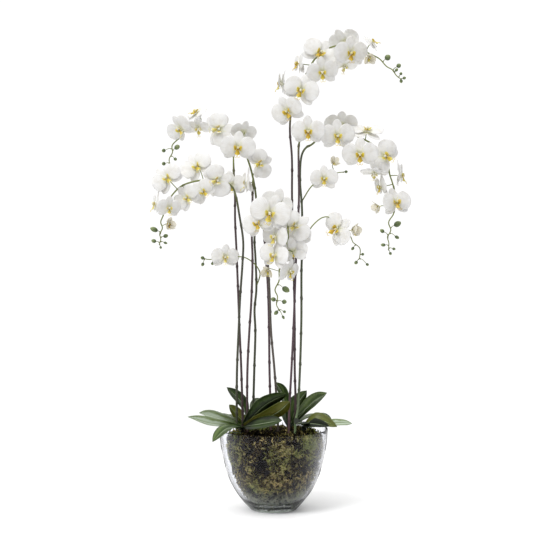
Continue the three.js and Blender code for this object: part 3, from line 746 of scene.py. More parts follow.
@dataclass(frozen=True)
class LipFinish(Finish):
    """The lip and the column: gold lobes with rusty lines on a cream column."""

    cream: Colour = rgb("e9e5d2")
    lemon: Colour = rgb("e2d468")
    gold: Colour = rgb("cfb427")
    amber: Colour = rgb("c4951f")
    rust: Colour = rgb("5f3a1c")

    def sockets(self, graph: Graph) -> dict[str, Wire | float | Colour]:
        """Cream to gold by the place on the lip, with rusty lines and dots towards its root.

        Args:
            graph: The material's nodes.

        Returns:
            A value or a wire for each socket.
        """
        mottle = graph.noise(330, 3.0)
        tint = graph.point_value("gold") + (mottle - 0.5) * 0.8 + graph.point_value("ripe") * 0.32
        stops = [(0.1, self.cream), (0.38, self.lemon), (0.68, self.gold), (1.0, self.amber)]
        rusty = graph.point_value("rust")
        lines = (graph.point_value("fan") * 9 + mottle * 4).ripple() ** 5 * rusty
        dots = graph.noise(900, 1.0).step(0.6, 0.68) * rusty
        core = graph.point_value("ripe").step(0.35, 0.95) * rusty
        marked = graph.mix(lines * 0.7 + dots * 0.6 + core * 0.7, graph.ramp(tint, stops), self.rust)
        return {"Base Color": marked, "Roughness": 0.42, "Subsurface Weight": 0.1, "Subsurface Scale": 0.003,
                "Normal": graph.bump(mottle, 0.0005, 0.6)}


@dataclass(frozen=True)
class FloorFinish(Finish):
    """A plain white studio floor."""

    white: Colour = rgb("fdfdfd")

    def sockets(self, graph: Graph) -> dict[str, Wire | float | Colour]:
        """Matt white."""
        return {"Base Color": self.white, "Roughness": 0.9, "Specular IOR Level": 0.0}


# The vase and the moss


@dataclass
class Vase:
    """A bowl with a thick foot, turned in one piece; radius and height in millimetres."""

    outside: tuple = ((71, 3), (94, 28), (118, 62), (138, 103), (151, 151), (160, 200), (163.6, 242.5))
    inside: tuple = ((160.4, 243), (155, 200), (146, 151), (132.5, 103), (112, 62), (84, 28), (66, 20),
                     (50, 18))
    foot: tuple = ((0, 0), (30, 0), (60, 0), (66, 0.2), (69.4, 1.2))
    floor: tuple = ((25, 18), (0, 18))
    rim_top: float = 245.4
    segments: int = 192
    outer_rings: int = 34
    inner_rings: int = 36
    rim_rings: int = 5

    def profile(self) -> np.ndarray:
        """The whole section, with a rounded rim.

        Returns:
            Radius and height, from the foot outside up and round to the axis again.
        """
        outer = Curve(self.outside).at(np.linspace(0, 1, self.outer_rings))
        inner = Curve(self.inside).at(np.linspace(0, 1, self.inner_rings))
        (out, low), (back, _) = outer[-1], inner[0]
        turns = np.linspace(0, math.pi, self.rim_rings + 2)[1:-1]
        middle, reach, rise = (out + back) / 2, (out - back) / 2, self.rim_top - low
        rim = [[middle + reach * math.cos(turn), low + rise * math.sin(turn)] for turn in turns]
        return np.vstack([self.foot, outer, rim, inner, self.floor])

    def build(self) -> None:
        """Makes the vase as one closed piece of glass."""
        rings, faces = lathe(self.profile(), self.segments)
        points = np.concatenate([rings[1:-1].reshape(-1, 3), rings[0][:1], rings[-1][:1]])
        end = (rings.shape[0] - 1) * self.segments
        wall = faces[(faces >= self.segments).all(1) & (faces < end).all(1)]
        ring = np.arange(self.segments)
        after = np.roll(ring, -1)
        last, count = end - 2 * self.segments, len(points)
        under = np.stack([after, ring, np.full(self.segments, count - 2)], axis=1)
        over = np.stack([ring + last, after + last, np.full(self.segments, count - 1)], axis=1)
        shape = Shape(points, [wall - self.segments, under, over])
        Piece("vase_glass", "glass", "glass_vase").add(shape).make(GlassFinish("clear_glass").material())


@dataclass(frozen=True)
class Patch:
    """A patch of moss that shows in the photograph: its place, its reach, its tone and how alive it is. On
    the top of the plug the tone is painted shade.
    """

    across: float
    height: float
    reach: float
    tone: float
    alive: float = 0.0


@dataclass
class Moss:
    """A lumpy plug of moss and the strands that stand out of it; lengths in millimetres."""

    profile: tuple = ((52, 18.4), (76, 30), (100, 62), (121, 103), (134, 148), (143, 196), (139, 222),
                      (112, 232), (70, 233), (34, 233))
    bottom: float = 18.4
    top: float = 233.0
    lump: float = 3.6
    crest_from: float = 210.0
    fine_scale: float = 0.11
    fine_height: float = 3.2
    sunk: float = 2.4
    shift: float = 4.0
    segments: int = 220
    steps: int = 120
    clumps: int = 1960
    crest_strands: int = 420
    strands_in_clump: int = 3
    strand_length: float = 13.5
    strand_radius: float = 1.35
    strand_taper: tuple = (1.0, 1.1, 1.0, 0.7, 0.12)
    # Painted shade: each strand is darker at its root than at its tip.
    strand_root_shading: tuple = (-0.25, -0.05, 0.1, 0.15, 0.2)
    crest_reach: float = 120.0
    crest_root: float = 228.0
    spread: int = 2
    bare_rings: int = 4
    patch_share: float = 0.85
    seed: int = 7
    patches: tuple = (
        Patch(-38, 153, 34, -0.1), Patch(-78, 205, 36, 0.12, 0.35), Patch(-118, 185, 30, 0.5, 0.5),
        Patch(-98, 105, 32, 0.62, 0.1), Patch(0, 92, 62, 0.8), Patch(26, 205, 46, 0.64, 0.1),
        Patch(72, 150, 42, 0.34, 0.1), Patch(132, 140, 30, 0.15, 0.6), Patch(112, 212, 34, 0.85, 0.85),
        # The last three patches, on the top, are painted shade from the leaves above.
        Patch(-72, 70, 22, 0.2, 0.7), Patch(0, 35, 70, 0.45, 0.5), Patch(-64, 250, 48, 0.0),
        Patch(0, 252, 48, 0.0), Patch(56, 250, 44, 0.1),
    )

    def rough(self, points: np.ndarray) -> np.ndarray:
        """The broad lumps of the plug.

        Args:
            points: Places on the plug.

        Returns:
            How far each stands out, from about -1.5 to 1.5.
        """
        x, y, z = points[..., 0], points[..., 1], points[..., 2]
        broad = np.sin(x * 0.071 + z * 0.043) * np.cos(y * 0.083 - z * 0.061)
        return broad + 0.5 * np.sin(x * 0.19 + y * 0.13 + z * 0.17)

    def tones_and_shading(self, points: np.ndarray) -> tuple[np.ndarray, np.ndarray]:
        """Colours the moss by noise, and by the patches that show in front; the patches on the top are
        painted shade from the leaves.

        Args:
            points: Places on the plug.

        Returns:
            The tone at each place, with the painted shade, and how alive the moss is there.
        """
        flat = points.reshape(-1, 3)
        tone = np.array([0.5 + 0.55 * noise.noise(Vector(spot * 0.03)) for spot in flat])
        tufts = np.array([noise.noise(Vector(spot * 0.085 + 9)) for spot in flat])
        alive = np.array([0.4 + 1.2 * noise.noise(Vector(spot * 0.013 + 40)) for spot in flat])
        for patch in self.patches:
            away = np.hypot(flat[:, 0] - patch.across, flat[:, 2] - patch.height)
            share = (1 - smooth_step(away, 0.4 * patch.reach, patch.reach)) * (flat[:, 1] < 30)
            tone += (patch.tone - tone) * share * self.patch_share
            alive += (patch.alive - alive) * share * self.patch_share
        tone += tufts * 0.55
        return tone.reshape(points.shape[:-1]), np.clip(alive, 0, 1).reshape(points.shape[:-1])

    def core(self) -> tuple[np.ndarray, np.ndarray, np.ndarray]:
        """Turns the plug and gives it its broad lumps.

        Returns:
            Its rings of points, their outward directions and its faces.
        """
        side = Curve(self.profile).at(np.linspace(0, 1, self.steps))
        outline = np.vstack([[(1, self.bottom), (26, self.bottom)], side, [(17, self.top), (1, self.top)]])
        rings, faces = lathe(outline, self.segments)
        reach = np.hypot(rings[..., 0], rings[..., 1])
        height = rings[..., 2]
        lumps = self.rough(rings)
        on_side = smooth_step(height, self.bottom, 60) * np.minimum(reach / 100, 1)
        widen = 1 + self.lump * lumps * on_side / np.maximum(reach, 1)
        rings[..., 0] = rings[..., 0] * widen + self.shift * on_side
        rings[..., 1] *= widen
        rings[..., 2] += np.where(height > self.crest_from, self.lump * lumps, 0)
        level = 0 * height
        hearts = np.stack([level + self.shift, level, height * 0.75 + 20], axis=-1)
        return rings, unit(rings - hearts), faces

    def strand(self, root: np.ndarray, outward: np.ndarray, rng: np.random.Generator, tone: float,
               alive: float) -> Shape:
        """One curled strand that lies along the plug and ends in a point.

        Args:
            root: Where it leaves the plug.
            outward: The direction out of the plug there.
            rng: The source of chance.
            tone: Its colour's tone.
            alive: How green it is.

        Returns:
            The strand.
        """
        length = self.strand_length * rng.uniform(0.5, 1.3)
        heading = unit(np.cross(outward, rng.normal(size=3)))
        curl = unit(np.cross(heading, outward))
        share = np.linspace(0, 1, len(self.strand_taper))[:, None]
        bend = rng.uniform(0.6, 2.6) * rng.choice([-1, 1])
        lift = np.sin(share * math.pi) * rng.uniform(0.08, 0.3)
        curve = heading * np.sin(share * bend) / bend + curl * (1 - np.cos(share * bend)) / bend
        path = root - outward * 1.5 + length * (curve + outward * lift)
        radii = self.strand_radius * rng.uniform(0.6, 1.3) * np.array(self.strand_taper)
        tones_and_shading = tone + np.array(self.strand_root_shading)
        return sweep(path, radii, 3, {"tone": tones_and_shading}).with_value("alive", alive)

    def build(self) -> None:
        """Makes the plug and its strands."""
        rings, outward, faces = self.core()
        flat = rings.reshape(-1, 3)
        fine = np.array([noise.fractal(Vector(spot * self.fine_scale), 0.9, 2.0, 4) for spot in flat])
        fine = fine.reshape(rings.shape[:2])
        surface = rings + outward * (fine * self.fine_height - self.sunk)[..., None]
        tone, alive = self.tones_and_shading(rings)
        # Painted shade: the plug is darker than its strands, and darker still in the hollows of its fine
        # relief.
        values_with_painted_shade = {"tone": (tone - 0.2 + fine * 0.35).ravel(), "alive": alive.ravel()}
        material = MossFinish("dry_moss").material()
        ring = np.arange(self.segments)
        ends = [ring[None, ::-1], (len(flat) - self.segments + ring)[None]]
        plug = Shape(surface.reshape(-1, 3), [faces, *ends], values_with_painted_shade)
        Piece("moss_plug", "moss", "moss_fill").add(plug).make(material)
        rng = np.random.default_rng(self.seed)
        weight = np.hypot(rings[..., 0], rings[..., 1]).ravel()
        weight[:self.segments * self.bare_rings] = 0
        strands = Piece("moss_strands", "moss")
        for centre in rng.choice(len(flat), self.clumps, p=weight / weight.sum()):
            height, column = divmod(int(centre), self.segments)
            shade = rng.normal() * 0.2
            for _ in range(self.strands_in_clump):
                down, along = (int(rng.integers(-self.spread, self.spread + 1)) for _ in range(2))
                row = int(np.clip(height + down, self.bare_rings, rings.shape[0] - 2))
                spot = (row, (column + along) % self.segments)
                colour = float(tone[spot] + shade + rng.normal() * 0.1)
                strands.add(self.strand(rings[spot], outward[spot], rng, colour, float(alive[spot])))
        for _ in range(self.crest_strands):
            turn, reach = rng.uniform(0, 2 * math.pi), self.crest_reach * math.sqrt(rng.uniform())
            root = np.array([reach * math.cos(turn) + self.shift, reach * math.sin(turn), self.crest_root])
            lean = unit(np.array([0, 0, 1.0]) + rng.normal(size=3) * 0.5)
            hold = unit(np.cross(lean, rng.normal(size=3)))
            root = root + lean * rng.uniform(0, 12)
            strands.add(self.strand(root, hold, rng, rng.uniform(-0.4, 0.2), 0.1))
        strands.make(material)


# Leaves


@dataclass
class Leaf:
    """A strap leaf that bends through three places; twist tips its face to the viewer."""

    base: Point
    body: Point
    tip: Point
    twist: float = 0.0
    width: float = 1.0
    tone: float = 0.4
    olive: float = 0.0
    half_width: float = 24.0
    stations: tuple = ((0, 0.35), (0.22, 0.8), (0.48, 1.06), (0.74, 0.86), (0.9, 0.46), (1.0, 0.02))
    half_thickness: float = 1.35
    thinning: float = 0.95
    fold: float = 0.24
    groove: float = 0.1
    wave: float = 0.05
    rows: int = 34
    columns: int = 15

    def shape(self, phase: float) -> Shape:
        """The leaf as a thin blade with a groove along its midrib.

        Args:
            phase: Where the waves along its edges begin.

        Returns:
            The blade.
        """
        path = Curve([place(spot) for spot in (self.base, self.body, self.tip)])
        along = np.linspace(0, 1, self.rows)
        rib = path.at(along)
        forwards = unit(np.gradient(rib, axis=0))
        level = unit(np.cross(forwards, [0, 0, 1.0]))
        turn = math.radians(self.twist)
        side = level * math.cos(turn) + np.cross(forwards, level) * math.sin(turn)
        face = np.cross(side, forwards)
        shares = Curve(self.stations).at(np.linspace(0, 1, 80))
        reach = self.half_width * self.width * np.interp(along, shares[:, 0], shares[:, 1])
        across = np.linspace(-1, 1, self.columns)
        size = np.abs(across)
        wave = self.wave * np.sin(along * 8 + phase)[:, None] * size ** 3 * np.sign(across)
        rise = self.fold * size + self.groove * np.sin(math.pi * size) + wave
        middle = (rib[:, None] + side[:, None] * (reach[:, None] * across)[..., None]
                  + face[:, None] * (reach[:, None] * rise)[..., None])
        thick = self.half_thickness - self.thinning * size + 0 * reach[:, None]
        half = np.minimum(thick, 0.2 + reach[:, None] * 0.2)
        values = {"along": along[:, None] + 0 * size, "across": across + 0 * along[:, None],
                  "tone": np.array(self.tone), "olive": np.array(self.olive)}
        return blade(middle, half, values)


@dataclass
class Rosette:
    """A crown of leaves; the crown is a place across and a depth."""

    name: str
    crown: tuple[float, float]
    leaves: list[Leaf]
    roots: list[list[Point]] = field(default_factory=list)
    crown_radius: float = 9.0
    crown_heights: tuple[float, float] = (190.0, 256.0)
    crown_taper: tuple = (1, 1, 1, 1, 1, 0.95, 0.8, 0.4)
    root_radii: tuple[float, float] = (2.0, 1.1)

    def build(self, material: bpy.types.Material) -> None:
        """Makes the crown and its leaves as one piece.

        Args:
            material: The leaves' finish.
        """
        across, depth = self.crown
        path = np.array([(across, depth, height) for height in np.linspace(*self.crown_heights, 8)])
        crown = sweep(path, self.crown_radius * np.array(self.crown_taper), 14)
        crown = crown.with_value("tone", 0.25).with_value("across", 0.5)
        blades = [leaf.shape(1.7 * index) for index, leaf in enumerate(self.leaves)]
        lines = [Curve(route).at(np.linspace(0, 1, 24)) for route in self.roots]
        roots = [sweep(line, np.linspace(*self.root_radii, 24), 8).with_value("tone", 0.72)
                 .with_value("across", 0.5).with_value("along", 0.6) for line in lines]
        Piece(f"{self.name}_blades", "leaf", self.name).add(crown, *blades, *roots).make(material)


# Each leaf's tone is partly its own colour and partly painted light: the palest tones are painted sheen, and
# the lowest are leaves in painted shade.
ROSETTES = [
    Rosette("leaves_left_front", (-95, -30), [
        Leaf((-98, 248, -32), (-193, 261, -30), (-259, 279, -20), 38, tone=0.8),
        Leaf((-90, 247, -36), (-143, 241, -96), (-184, 203, -128), -4, 1.0, tone=0.42),
        Leaf((-88, 249, -38), (-30, 258, -88), (26, 268, -112), 38, 1.1, tone=0.14),
        Leaf((-90, 252, -34), (-24, 316, -42), (40, 349, -54), -52, 1.1, tone=0.2),
        Leaf((-88, 250, -36), (10, 292, -66), (49, 326, -84), -48, 1.05, tone=0.22, olive=0.75),
    ], [[(-95, -34, 236), (-112, -52, 240), (-126, -64, 244),
         (-134, -68, 240), (-132, -64, 232), (-124, -60, 228)]]),
    Rosette("leaves_left_back", (-76, 44), [
        Leaf((-80, 250, 46), (-179, 280, 52), (-225, 291, 60), 38, tone=0.82),
        Leaf((-79, 252, 42), (-112, 288, 52), (-134, 316, 58), 66, 0.85, tone=0.42, olive=0.75),
        Leaf((-78, 254, 48), (-94, 320, 64), (-141, 369, 78), 70, 0.9, tone=0.22),
        Leaf((-72, 254, 46), (-62, 308, 66), (-42, 336, 80), -60, 0.9, tone=0.72),
        Leaf((-74, 250, 50), (-60, 296, 112), (-52, 280, 168), 0, tone=0.4),
        Leaf((-78, 250, 48), (-138, 282, 96), (-184, 262, 142), 10, tone=0.45),
    ], [[(-84, 40, 236), (-112, 24, 242), (-134, 8, 246),
         (-146, -4, 240), (-142, -10, 230), (-130, -8, 228)]]),
    Rosette("leaves_right_front", (92, -8), [
        Leaf((96, 256, -11), (128, 271, -26), (192, 249, -46), 42, 0.9, tone=0.45, olive=0.6),
        Leaf((93, 248, -14), (112, 257, -68), (168, 250, -116), 26, 0.95, tone=-0.3),
        Leaf((96, 250, -2), (190, 260, 16), (237, 259, 26), 28, 0.7, tone=0.8),
        Leaf((92, 250, -16), (86, 262, -84), (66, 256, -140), -18, 0.9, tone=-0.15),
    ]),
    Rosette("leaves_right_back", (48, 46), [
        Leaf((46, 254, 50), (27, 350, 62), (8, 384, 70), 70, 0.8, tone=0.38),
        Leaf((50, 254, 48), (72, 318, 56), (100, 359, 62), -72, 0.95, tone=0.36),
        Leaf((52, 252, 50), (116, 322, 72), (161, 352, 88), -62, 1.0, tone=0.5),
        Leaf((46, 254, 46), (52, 300, 52), (62, 345, 56), -80, 0.7, tone=0.15),
        Leaf((48, 250, 52), (40, 298, 112), (30, 276, 172), 0, tone=0.4),
        Leaf((52, 250, 50), (128, 284, 104), (176, 262, 148), -10, tone=0.45),
    ]),
]


# Blooms


class Stage(Enum):
    """How far a bloom has opened: how far its tepals fold forwards, in degrees."""

    FULL = 0.0
    OPENING = 52.0


def turn_matrix(turn: Point) -> np.ndarray:
    """How a bloom is turned.

    Args:
        turn: Yaw to the viewer's right, pitch upwards and roll clockwise, in degrees.

    Returns:
        The matrix that turns a bloom which faces -Y.
    """
    yaw, pitch, roll = (math.radians(angle) for angle in turn)
    upwards = Matrix.Rotation(-pitch, 3, "X")
    return np.array(Matrix.Rotation(yaw, 3, "Z") @ upwards @ Matrix.Rotation(roll, 3, "Y"))


@dataclass(frozen=True)
class TepalForm:
    """The form of a petal or a sepal: its outline, its layer, its lean and its bends, in millimetres."""

    outline: Outline
    layer: float
    lean: float
    roll_back: float
    droop: float
    ruffle: float
    half_thickness: float = 0.62
    thinning: float = 0.34
    midrib: float = 0.7
    turn_spread: float = 3.5
    lean_spread: float = 5.0

    def shape(self, angle: float, cup: float, rng: np.random.Generator, count: int = 15) -> Shape:
        """One tepal of a bloom that faces -Y.

        Args:
            angle: The way it points, in degrees clockwise from straight up.
            cup: How far the bloom's tepals fold forwards, in degrees.
            rng: The source of chance.
            count: The number of points along each side of its grid.

        Returns:
            The tepal as a thin blade.
        """
        turn = math.radians(angle + rng.normal() * self.turn_spread)
        lean = math.radians(cup + self.lean + rng.normal() * self.lean_spread)
        outwards = np.array([math.sin(turn), 0, math.cos(turn)])
        across = np.array([math.cos(turn), 0, -math.sin(turn)])
        forwards = np.array([0, -1.0, 0])
        along = outwards * math.cos(lean) + forwards * math.sin(lean)
        front = forwards * math.cos(lean) - outwards * math.sin(lean)
        length, side, share = self.outline.disc(count)
        bearing = np.arctan2(side, length - self.outline.middle)
        phase = rng.uniform(0, 2 * math.pi, 3)
        wide = side / 25
        far = np.clip((length - 22) / 28, -0.6, 1)
        rise = -self.roll_back * wide ** 2 - self.droop * far * np.abs(far)
        ruffles = np.sin(3 * bearing + phase[0]) + 0.6 * np.sin(5 * bearing + phase[1])
        rib = self.midrib * np.exp(-(side / 2.4) ** 2) * smooth_step(length, 4, 20)
        rise += self.ruffle * share ** 3 * ruffles
        rise += 0.5 * np.sin(length * 0.16 + phase[2]) * wide - rib
        middle = (np.array([0, self.layer, 0]) + length[..., None] * along + side[..., None] * across
                  + rise[..., None] * front)
        half = self.half_thickness - self.thinning * share ** 2
        values = {"reach": length / 50, "fan": np.arctan2(side, length + 7)}
        return blade(middle, half, values)


def mirrored(outline: list[tuple[float, float]]) -> list[tuple[float, float]]:
    """The same outline for the other hand."""
    return [(length, -side) for length, side in reversed(outline)]


def both_sides(half: list[tuple[float, float]], tip: tuple[float, float]) -> list[tuple[float, float]]:
    """An even outline from the knots of one side and the tip."""
    return [*half, tip, *mirrored(half)]


PETAL_KNOTS = [(5, -4.5), (12, -20), (23, -27.6), (35, -27), (46.5, -16), (51, -2), (48, 12.5), (36, 26.2),
               (23, 27), (12, 21), (5, 4)]
OPENING_KNOTS = both_sides([(5, -4.5), (15, -19), (30, -19), (44, -10)], (47, 0))
SEPAL_KNOTS = both_sides([(3, -3.5), (9, -9), (18, -14.4), (31, -14), (42.5, -8.6)], (48, 0))

RIGHT_PETAL = TepalForm(Outline(27, PETAL_KNOTS), -2, 3, 2.4, 2.6, 1.0)
LEFT_PETAL = TepalForm(Outline(27, mirrored(PETAL_KNOTS)), -2, 3, 2.4, 2.6, 1.0)
OPENING_PETAL = TepalForm(Outline(26, OPENING_KNOTS), -2, 3, -6.0, -4.0, 0.5)
SEPAL = TepalForm(Outline(24, SEPAL_KNOTS), 2.5, -5, 3.0, 1.6, 0.5)
PETAL_ANGLE = 79.0
LOW_SEPAL_ANGLE = 127.0


@dataclass
class Lip:
    """The lip and the column of a bloom that faces -Y, in millimetres."""

    side_lobe: Outline = field(default_factory=lambda: Outline(0, [
        (-8, -3), (-6.5, 4.2), (-1, 6.2), (4, 6.2), (7.8, 3), (7.4, -2.2), (3.5, -5), (-2, -5.6),
        (-6.5, -4.8)]))
    tongue: Outline = field(default_factory=lambda: Outline(0, both_sides(
        [(-9.5, -3.4), (-5, -5.4), (-1.5, -7.8), (2.4, -6.4), (6.4, -2.4)], (11.5, 0))))
    lobe_spot: Point = (7.4, -10.4, -0.4)
    tongue_spot: Point = (0.0, -14.2, -15.2)
    tendril: tuple = ((0.8, -21, -24), (3.4, -23, -27), (6.6, -22.5, -26.5), (8.0, -20.5, -23.5),
                      (6.6, -19, -21.5))
    column: tuple = ((0, 1.5, 0), (0, -4, 0.4), (0, -9, 1.6), (0, -12.6, 1.6), (0, -14.4, 0.2))
    column_radii: tuple = ((0, 2.9), (0.35, 3.0), (0.7, 3.5), (0.88, 3.3), (1, 1.2))
    size: float = 0.94

    def lobe(self, hand: int) -> Shape:
        """An upright side lobe that curls in over the column.

        Args:
            hand: 1 for the right lobe, and -1 for the left one.

        Returns:
            The lobe.
        """
        height, out, share = self.side_lobe.disc(9)
        up = unit(np.array([0.12 * hand, -0.12, 1.0]))
        away = unit(np.array([0.68 * hand, -0.73, 0.0]))
        inwards = np.cross(up, away) * hand
        curl = 0.055 * height ** 2 + 0.05 * out ** 2 - 1.5
        middle = (self.lobe_spot * np.array([hand, 1, 1]) + height[..., None] * up + out[..., None] * away
                  + curl[..., None] * inwards * 0.8)
        values = {"gold": 0.8 - 0.45 * share + 0.015 * height, "fan": np.arctan2(out, height + 12) * 3,
                  "rust": 0.9 * (1 - smooth_step(share, 0.3, 0.9))}
        return blade(middle, 0.55 - 0.25 * share, values)

    def middle_lobe(self) -> Shape:
        """The pointed tongue, keeled along its middle.

        Returns:
            The middle lobe.
        """
        length, side, share = self.tongue.disc(11)
        along = unit(np.array([0, -0.58, -0.81]))
        front = unit(np.array([0, -0.81, 0.58]))
        rise = 1.6 * np.exp(-(side / 1.6) ** 2) - 0.075 * side ** 2 + 0.02 * (length - 2) ** 2
        sideways = np.array([1.0, 0, 0]) * side[..., None]
        middle = self.tongue_spot + length[..., None] * along + sideways + rise[..., None] * front
        values = {"gold": 0.72 - 0.2 * share - 0.02 * length, "fan": side * 0.1,
                  "rust": 0.8 * (1 - smooth_step(length, -8, 3))}
        return blade(middle, 0.6 - 0.25 * share, values)

    def shapes(self) -> list[Shape]:
        """Builds the whole lip.

        Returns:
            The lobes, two tendrils, the callus, and the column with its cap.
        """
        found = [self.lobe(1), self.lobe(-1), self.middle_lobe()]
        for hand in (1, -1):
            curl = Curve(self.tendril * np.array([hand, 1, 1])).at(np.linspace(0, 1, 12))
            found.append(sweep(curl, np.linspace(0.75, 0.35, 12), 6).with_value("gold", 0.62))
        dome = np.linspace(0, math.pi, 8)
        callus = np.stack([0 * dome, -8.4 - 0.6 * np.cos(dome), -5.4 - 3.2 * np.cos(dome)], axis=1)
        ball = sweep(callus, 2.7 * np.sin(dome) + 0.05, 10)
        found.append(ball.with_value("gold", 0.95).with_value("rust", 1.0))
        shares = np.linspace(0, 1, 14)
        radii = np.interp(shares, *np.transpose(self.column_radii))
        found.append(sweep(Curve(self.column).at(shares), radii, 12).with_value("gold", 0.1))
        cap = np.stack([0 * dome, -12.6 - 1.9 * np.cos(dome), 0.6 + 0.8 * np.cos(dome)], axis=1)
        found.append(sweep(cap, 2.9 * np.sin(dome) + 0.05, 10).with_value("gold", 0.05))
        return found


@dataclass
class Bloom:
    """A bloom: its place, its turn, and its size against one about 100 mm across."""

    spot: Point
    turn: Point
    size: float
    stage: Stage = Stage.FULL
    boss: tuple = ((0.5, 3.4), (2, 3.2), (3.5, 2.7), (5, 2.2), (6.3, 1.8), (7.0, 1.2))

    def centre(self) -> np.ndarray:
        """The bloom's middle in space."""
        return place(self.spot)

    def backwards(self) -> np.ndarray:
        """The direction from the bloom's middle to its back."""
        return turn_matrix(self.turn) @ np.array([0, 1.0, 0])

    def tepals(self, rng: np.random.Generator) -> list[Shape]:
        """Three sepals with two petals before them.

        Args:
            rng: The source of chance.

        Returns:
            The five tepals.
        """
        cup = self.stage.value
        right, left = (OPENING_PETAL,) * 2 if self.stage is Stage.OPENING else (RIGHT_PETAL, LEFT_PETAL)
        sepals = [SEPAL.shape(angle, cup, rng, 13) for angle in (0, LOW_SEPAL_ANGLE, -LOW_SEPAL_ANGLE)]
        return [*sepals, right.shape(PETAL_ANGLE, cup, rng), left.shape(-PETAL_ANGLE, cup, rng)]

    def back(self) -> Shape:
        """The swollen back that the stalk joins."""
        path = np.array([[0, depth, 0] for depth, _ in self.boss], float)
        return sweep(path, np.array([radius for _, radius in self.boss]), 10).with_value("reach", 0.12)

    def build(self, name: str, seed: int, petal: bpy.types.Material, lip: bpy.types.Material,
              *nodes: str) -> None:
        """Makes the bloom as one piece.

        Args:
            name: The piece's name.
            seed: Where its chance begins, so that each bloom bends in its own way.
            petal: The tepals' material.
            lip: The material of the lip and the column.
            nodes: The CAD nodes that it stands for.
        """
        rng = np.random.default_rng(seed)
        turned, centre, form = turn_matrix(self.turn), self.centre(), Lip()
        piece = Piece(name, "petal", *nodes)
        piece.add(*(shape.moved(turned, self.size, centre) for shape in [*self.tepals(rng), self.back()]))
        ripe = rng.uniform(-1, 1)
        parts = [shape.moved(turned, self.size * form.size, centre) for shape in form.shapes()]
        piece.add(*(part.with_value("ripe", ripe) for part in parts), finish=1)
        piece.make(petal, lip)


# Stems


@dataclass
class Bud:
    """A closed bud: its place, its length and its width."""

    spot: Point
    length: float
    width: float
    swell: tuple = ((-0.5, 0.3), (-0.42, 0.6), (-0.3, 0.86), (-0.08, 1.0), (0.15, 0.93), (0.35, 0.62),
                    (0.46, 0.32), (0.5, 0.08))

    def shapes(self, root: np.ndarray) -> tuple[Shape, Shape]:
        """The bud and its stalk.

        Args:
            root: Where the stalk leaves the stem.

        Returns:
            The bud, and its stalk.
        """
        centre = place(self.spot)
        along = unit(centre - root)
        share = np.linspace(-0.5, 0.5, 11)
        swell = np.interp(share, *np.transpose(self.swell))
        path = centre + along * self.length * share[:, None]
        body = sweep(path, swell * self.width / 2, 12, {"along": share + 0.5}, ridges=0.05)
        end = centre - along * self.length * 0.42
        sag = np.array([0, 0, 0.12 * np.linalg.norm(end - root)])
        thread = Curve([root, (root + end) / 2 + sag, end]).at(np.linspace(0, 1, 7))
        return body, sweep(thread, np.linspace(1.15, 0.9, 7), 6, {"along": np.full(7, 0.9)})


@dataclass
class Spray:
    """A stretch of stem: its route, and what it carries."""

    route: list[Point]
    blooms: dict[str, Bloom] = field(default_factory=dict)
    fused: dict[str, Bloom] = field(default_factory=dict)
    openings: list[Bloom] = field(default_factory=list)
    buds: list[Bud] = field(default_factory=list)
    stalk_end: float = 4.0
    behind: float = 25.0

    def moved(self, move: Callable[[Point], Point]) -> None:
        """Moves all its places by the same rule."""
        for carried in [*self.blooms.values(), *self.fused.values(), *self.openings, *self.buds]:
            carried.spot = move(carried.spot)

    def stalk(self, bloom: Bloom, root: np.ndarray) -> Shape:
        """A stalk that leaves the stem, comes round behind the bloom and ends at its back.

        Args:
            bloom: The bloom that it carries.
            root: Where it leaves the stem.

        Returns:
            The stalk.
        """
        back, (boss_end, _) = bloom.backwards(), bloom.boss[-1]
        end = bloom.centre() + back * (boss_end - 1) * bloom.size
        straight = end + back * self.stalk_end
        reach = np.linalg.norm(root - straight)
        bend = (straight + back * reach * 0.3) * 0.65 + root * 0.35
        path = Curve([root, bend, straight, end]).at(np.linspace(0, 1, 14))
        return sweep(path, np.linspace(1.5, 1.2, 14), 7, {"along": np.linspace(0.85, 1.0, 14)})

    def carry(self, points: np.ndarray, bark: Piece, buds: Piece) -> None:
        """Adds the stalks, bracts and buds that leave the stem.

        Args:
            points: Points along the stretch of stem that carries them.
            bark: The piece that takes the stalks and bracts.
            buds: The piece that takes the buds.
        """
        def nearest(target: np.ndarray) -> np.ndarray:
            """The point of the stem nearest to the target."""
            return points[np.argmin(np.linalg.norm(points - target, axis=1))]

        for bloom in [*self.blooms.values(), *self.fused.values()]:
            target = bloom.centre() + bloom.backwards() * self.behind
            root = nearest(target)
            bark.add(self.stalk(bloom, root), self.bract(root, target))
        for bloom in self.openings:
            centre, back = bloom.centre(), bloom.backwards()
            root = nearest(centre)
            path = Curve([root, centre + back * 8, centre + back * 2])
            bark.add(sweep(path.at(np.linspace(0, 1, 9)), 1.15, 6, {"along": np.full(9, 0.95)}))
        for bud in self.buds:
            root = nearest(place(bud.spot))
            body, thread = bud.shapes(root)
            buds.add(body)
            bark.add(thread, self.bract(root, place(bud.spot)))

    @staticmethod
    def bract(root: np.ndarray, target: np.ndarray) -> Shape:
        """A small pointed scale under a stalk's root.

        Args:
            root: Where the stalk leaves the stem.
            target: What the stalk leads to.

        Returns:
            The scale.
        """
        path = root + unit(target - root) * np.linspace(-1, 5.5, 5)[:, None] - np.array([0, 0, 0.6])
        values = {"along": np.full(5, 0.8), "knot": np.full(5, 0.5)}
        return sweep(path, np.array([1.6, 2.1, 1.7, 0.9, 0.1]), 6, values)


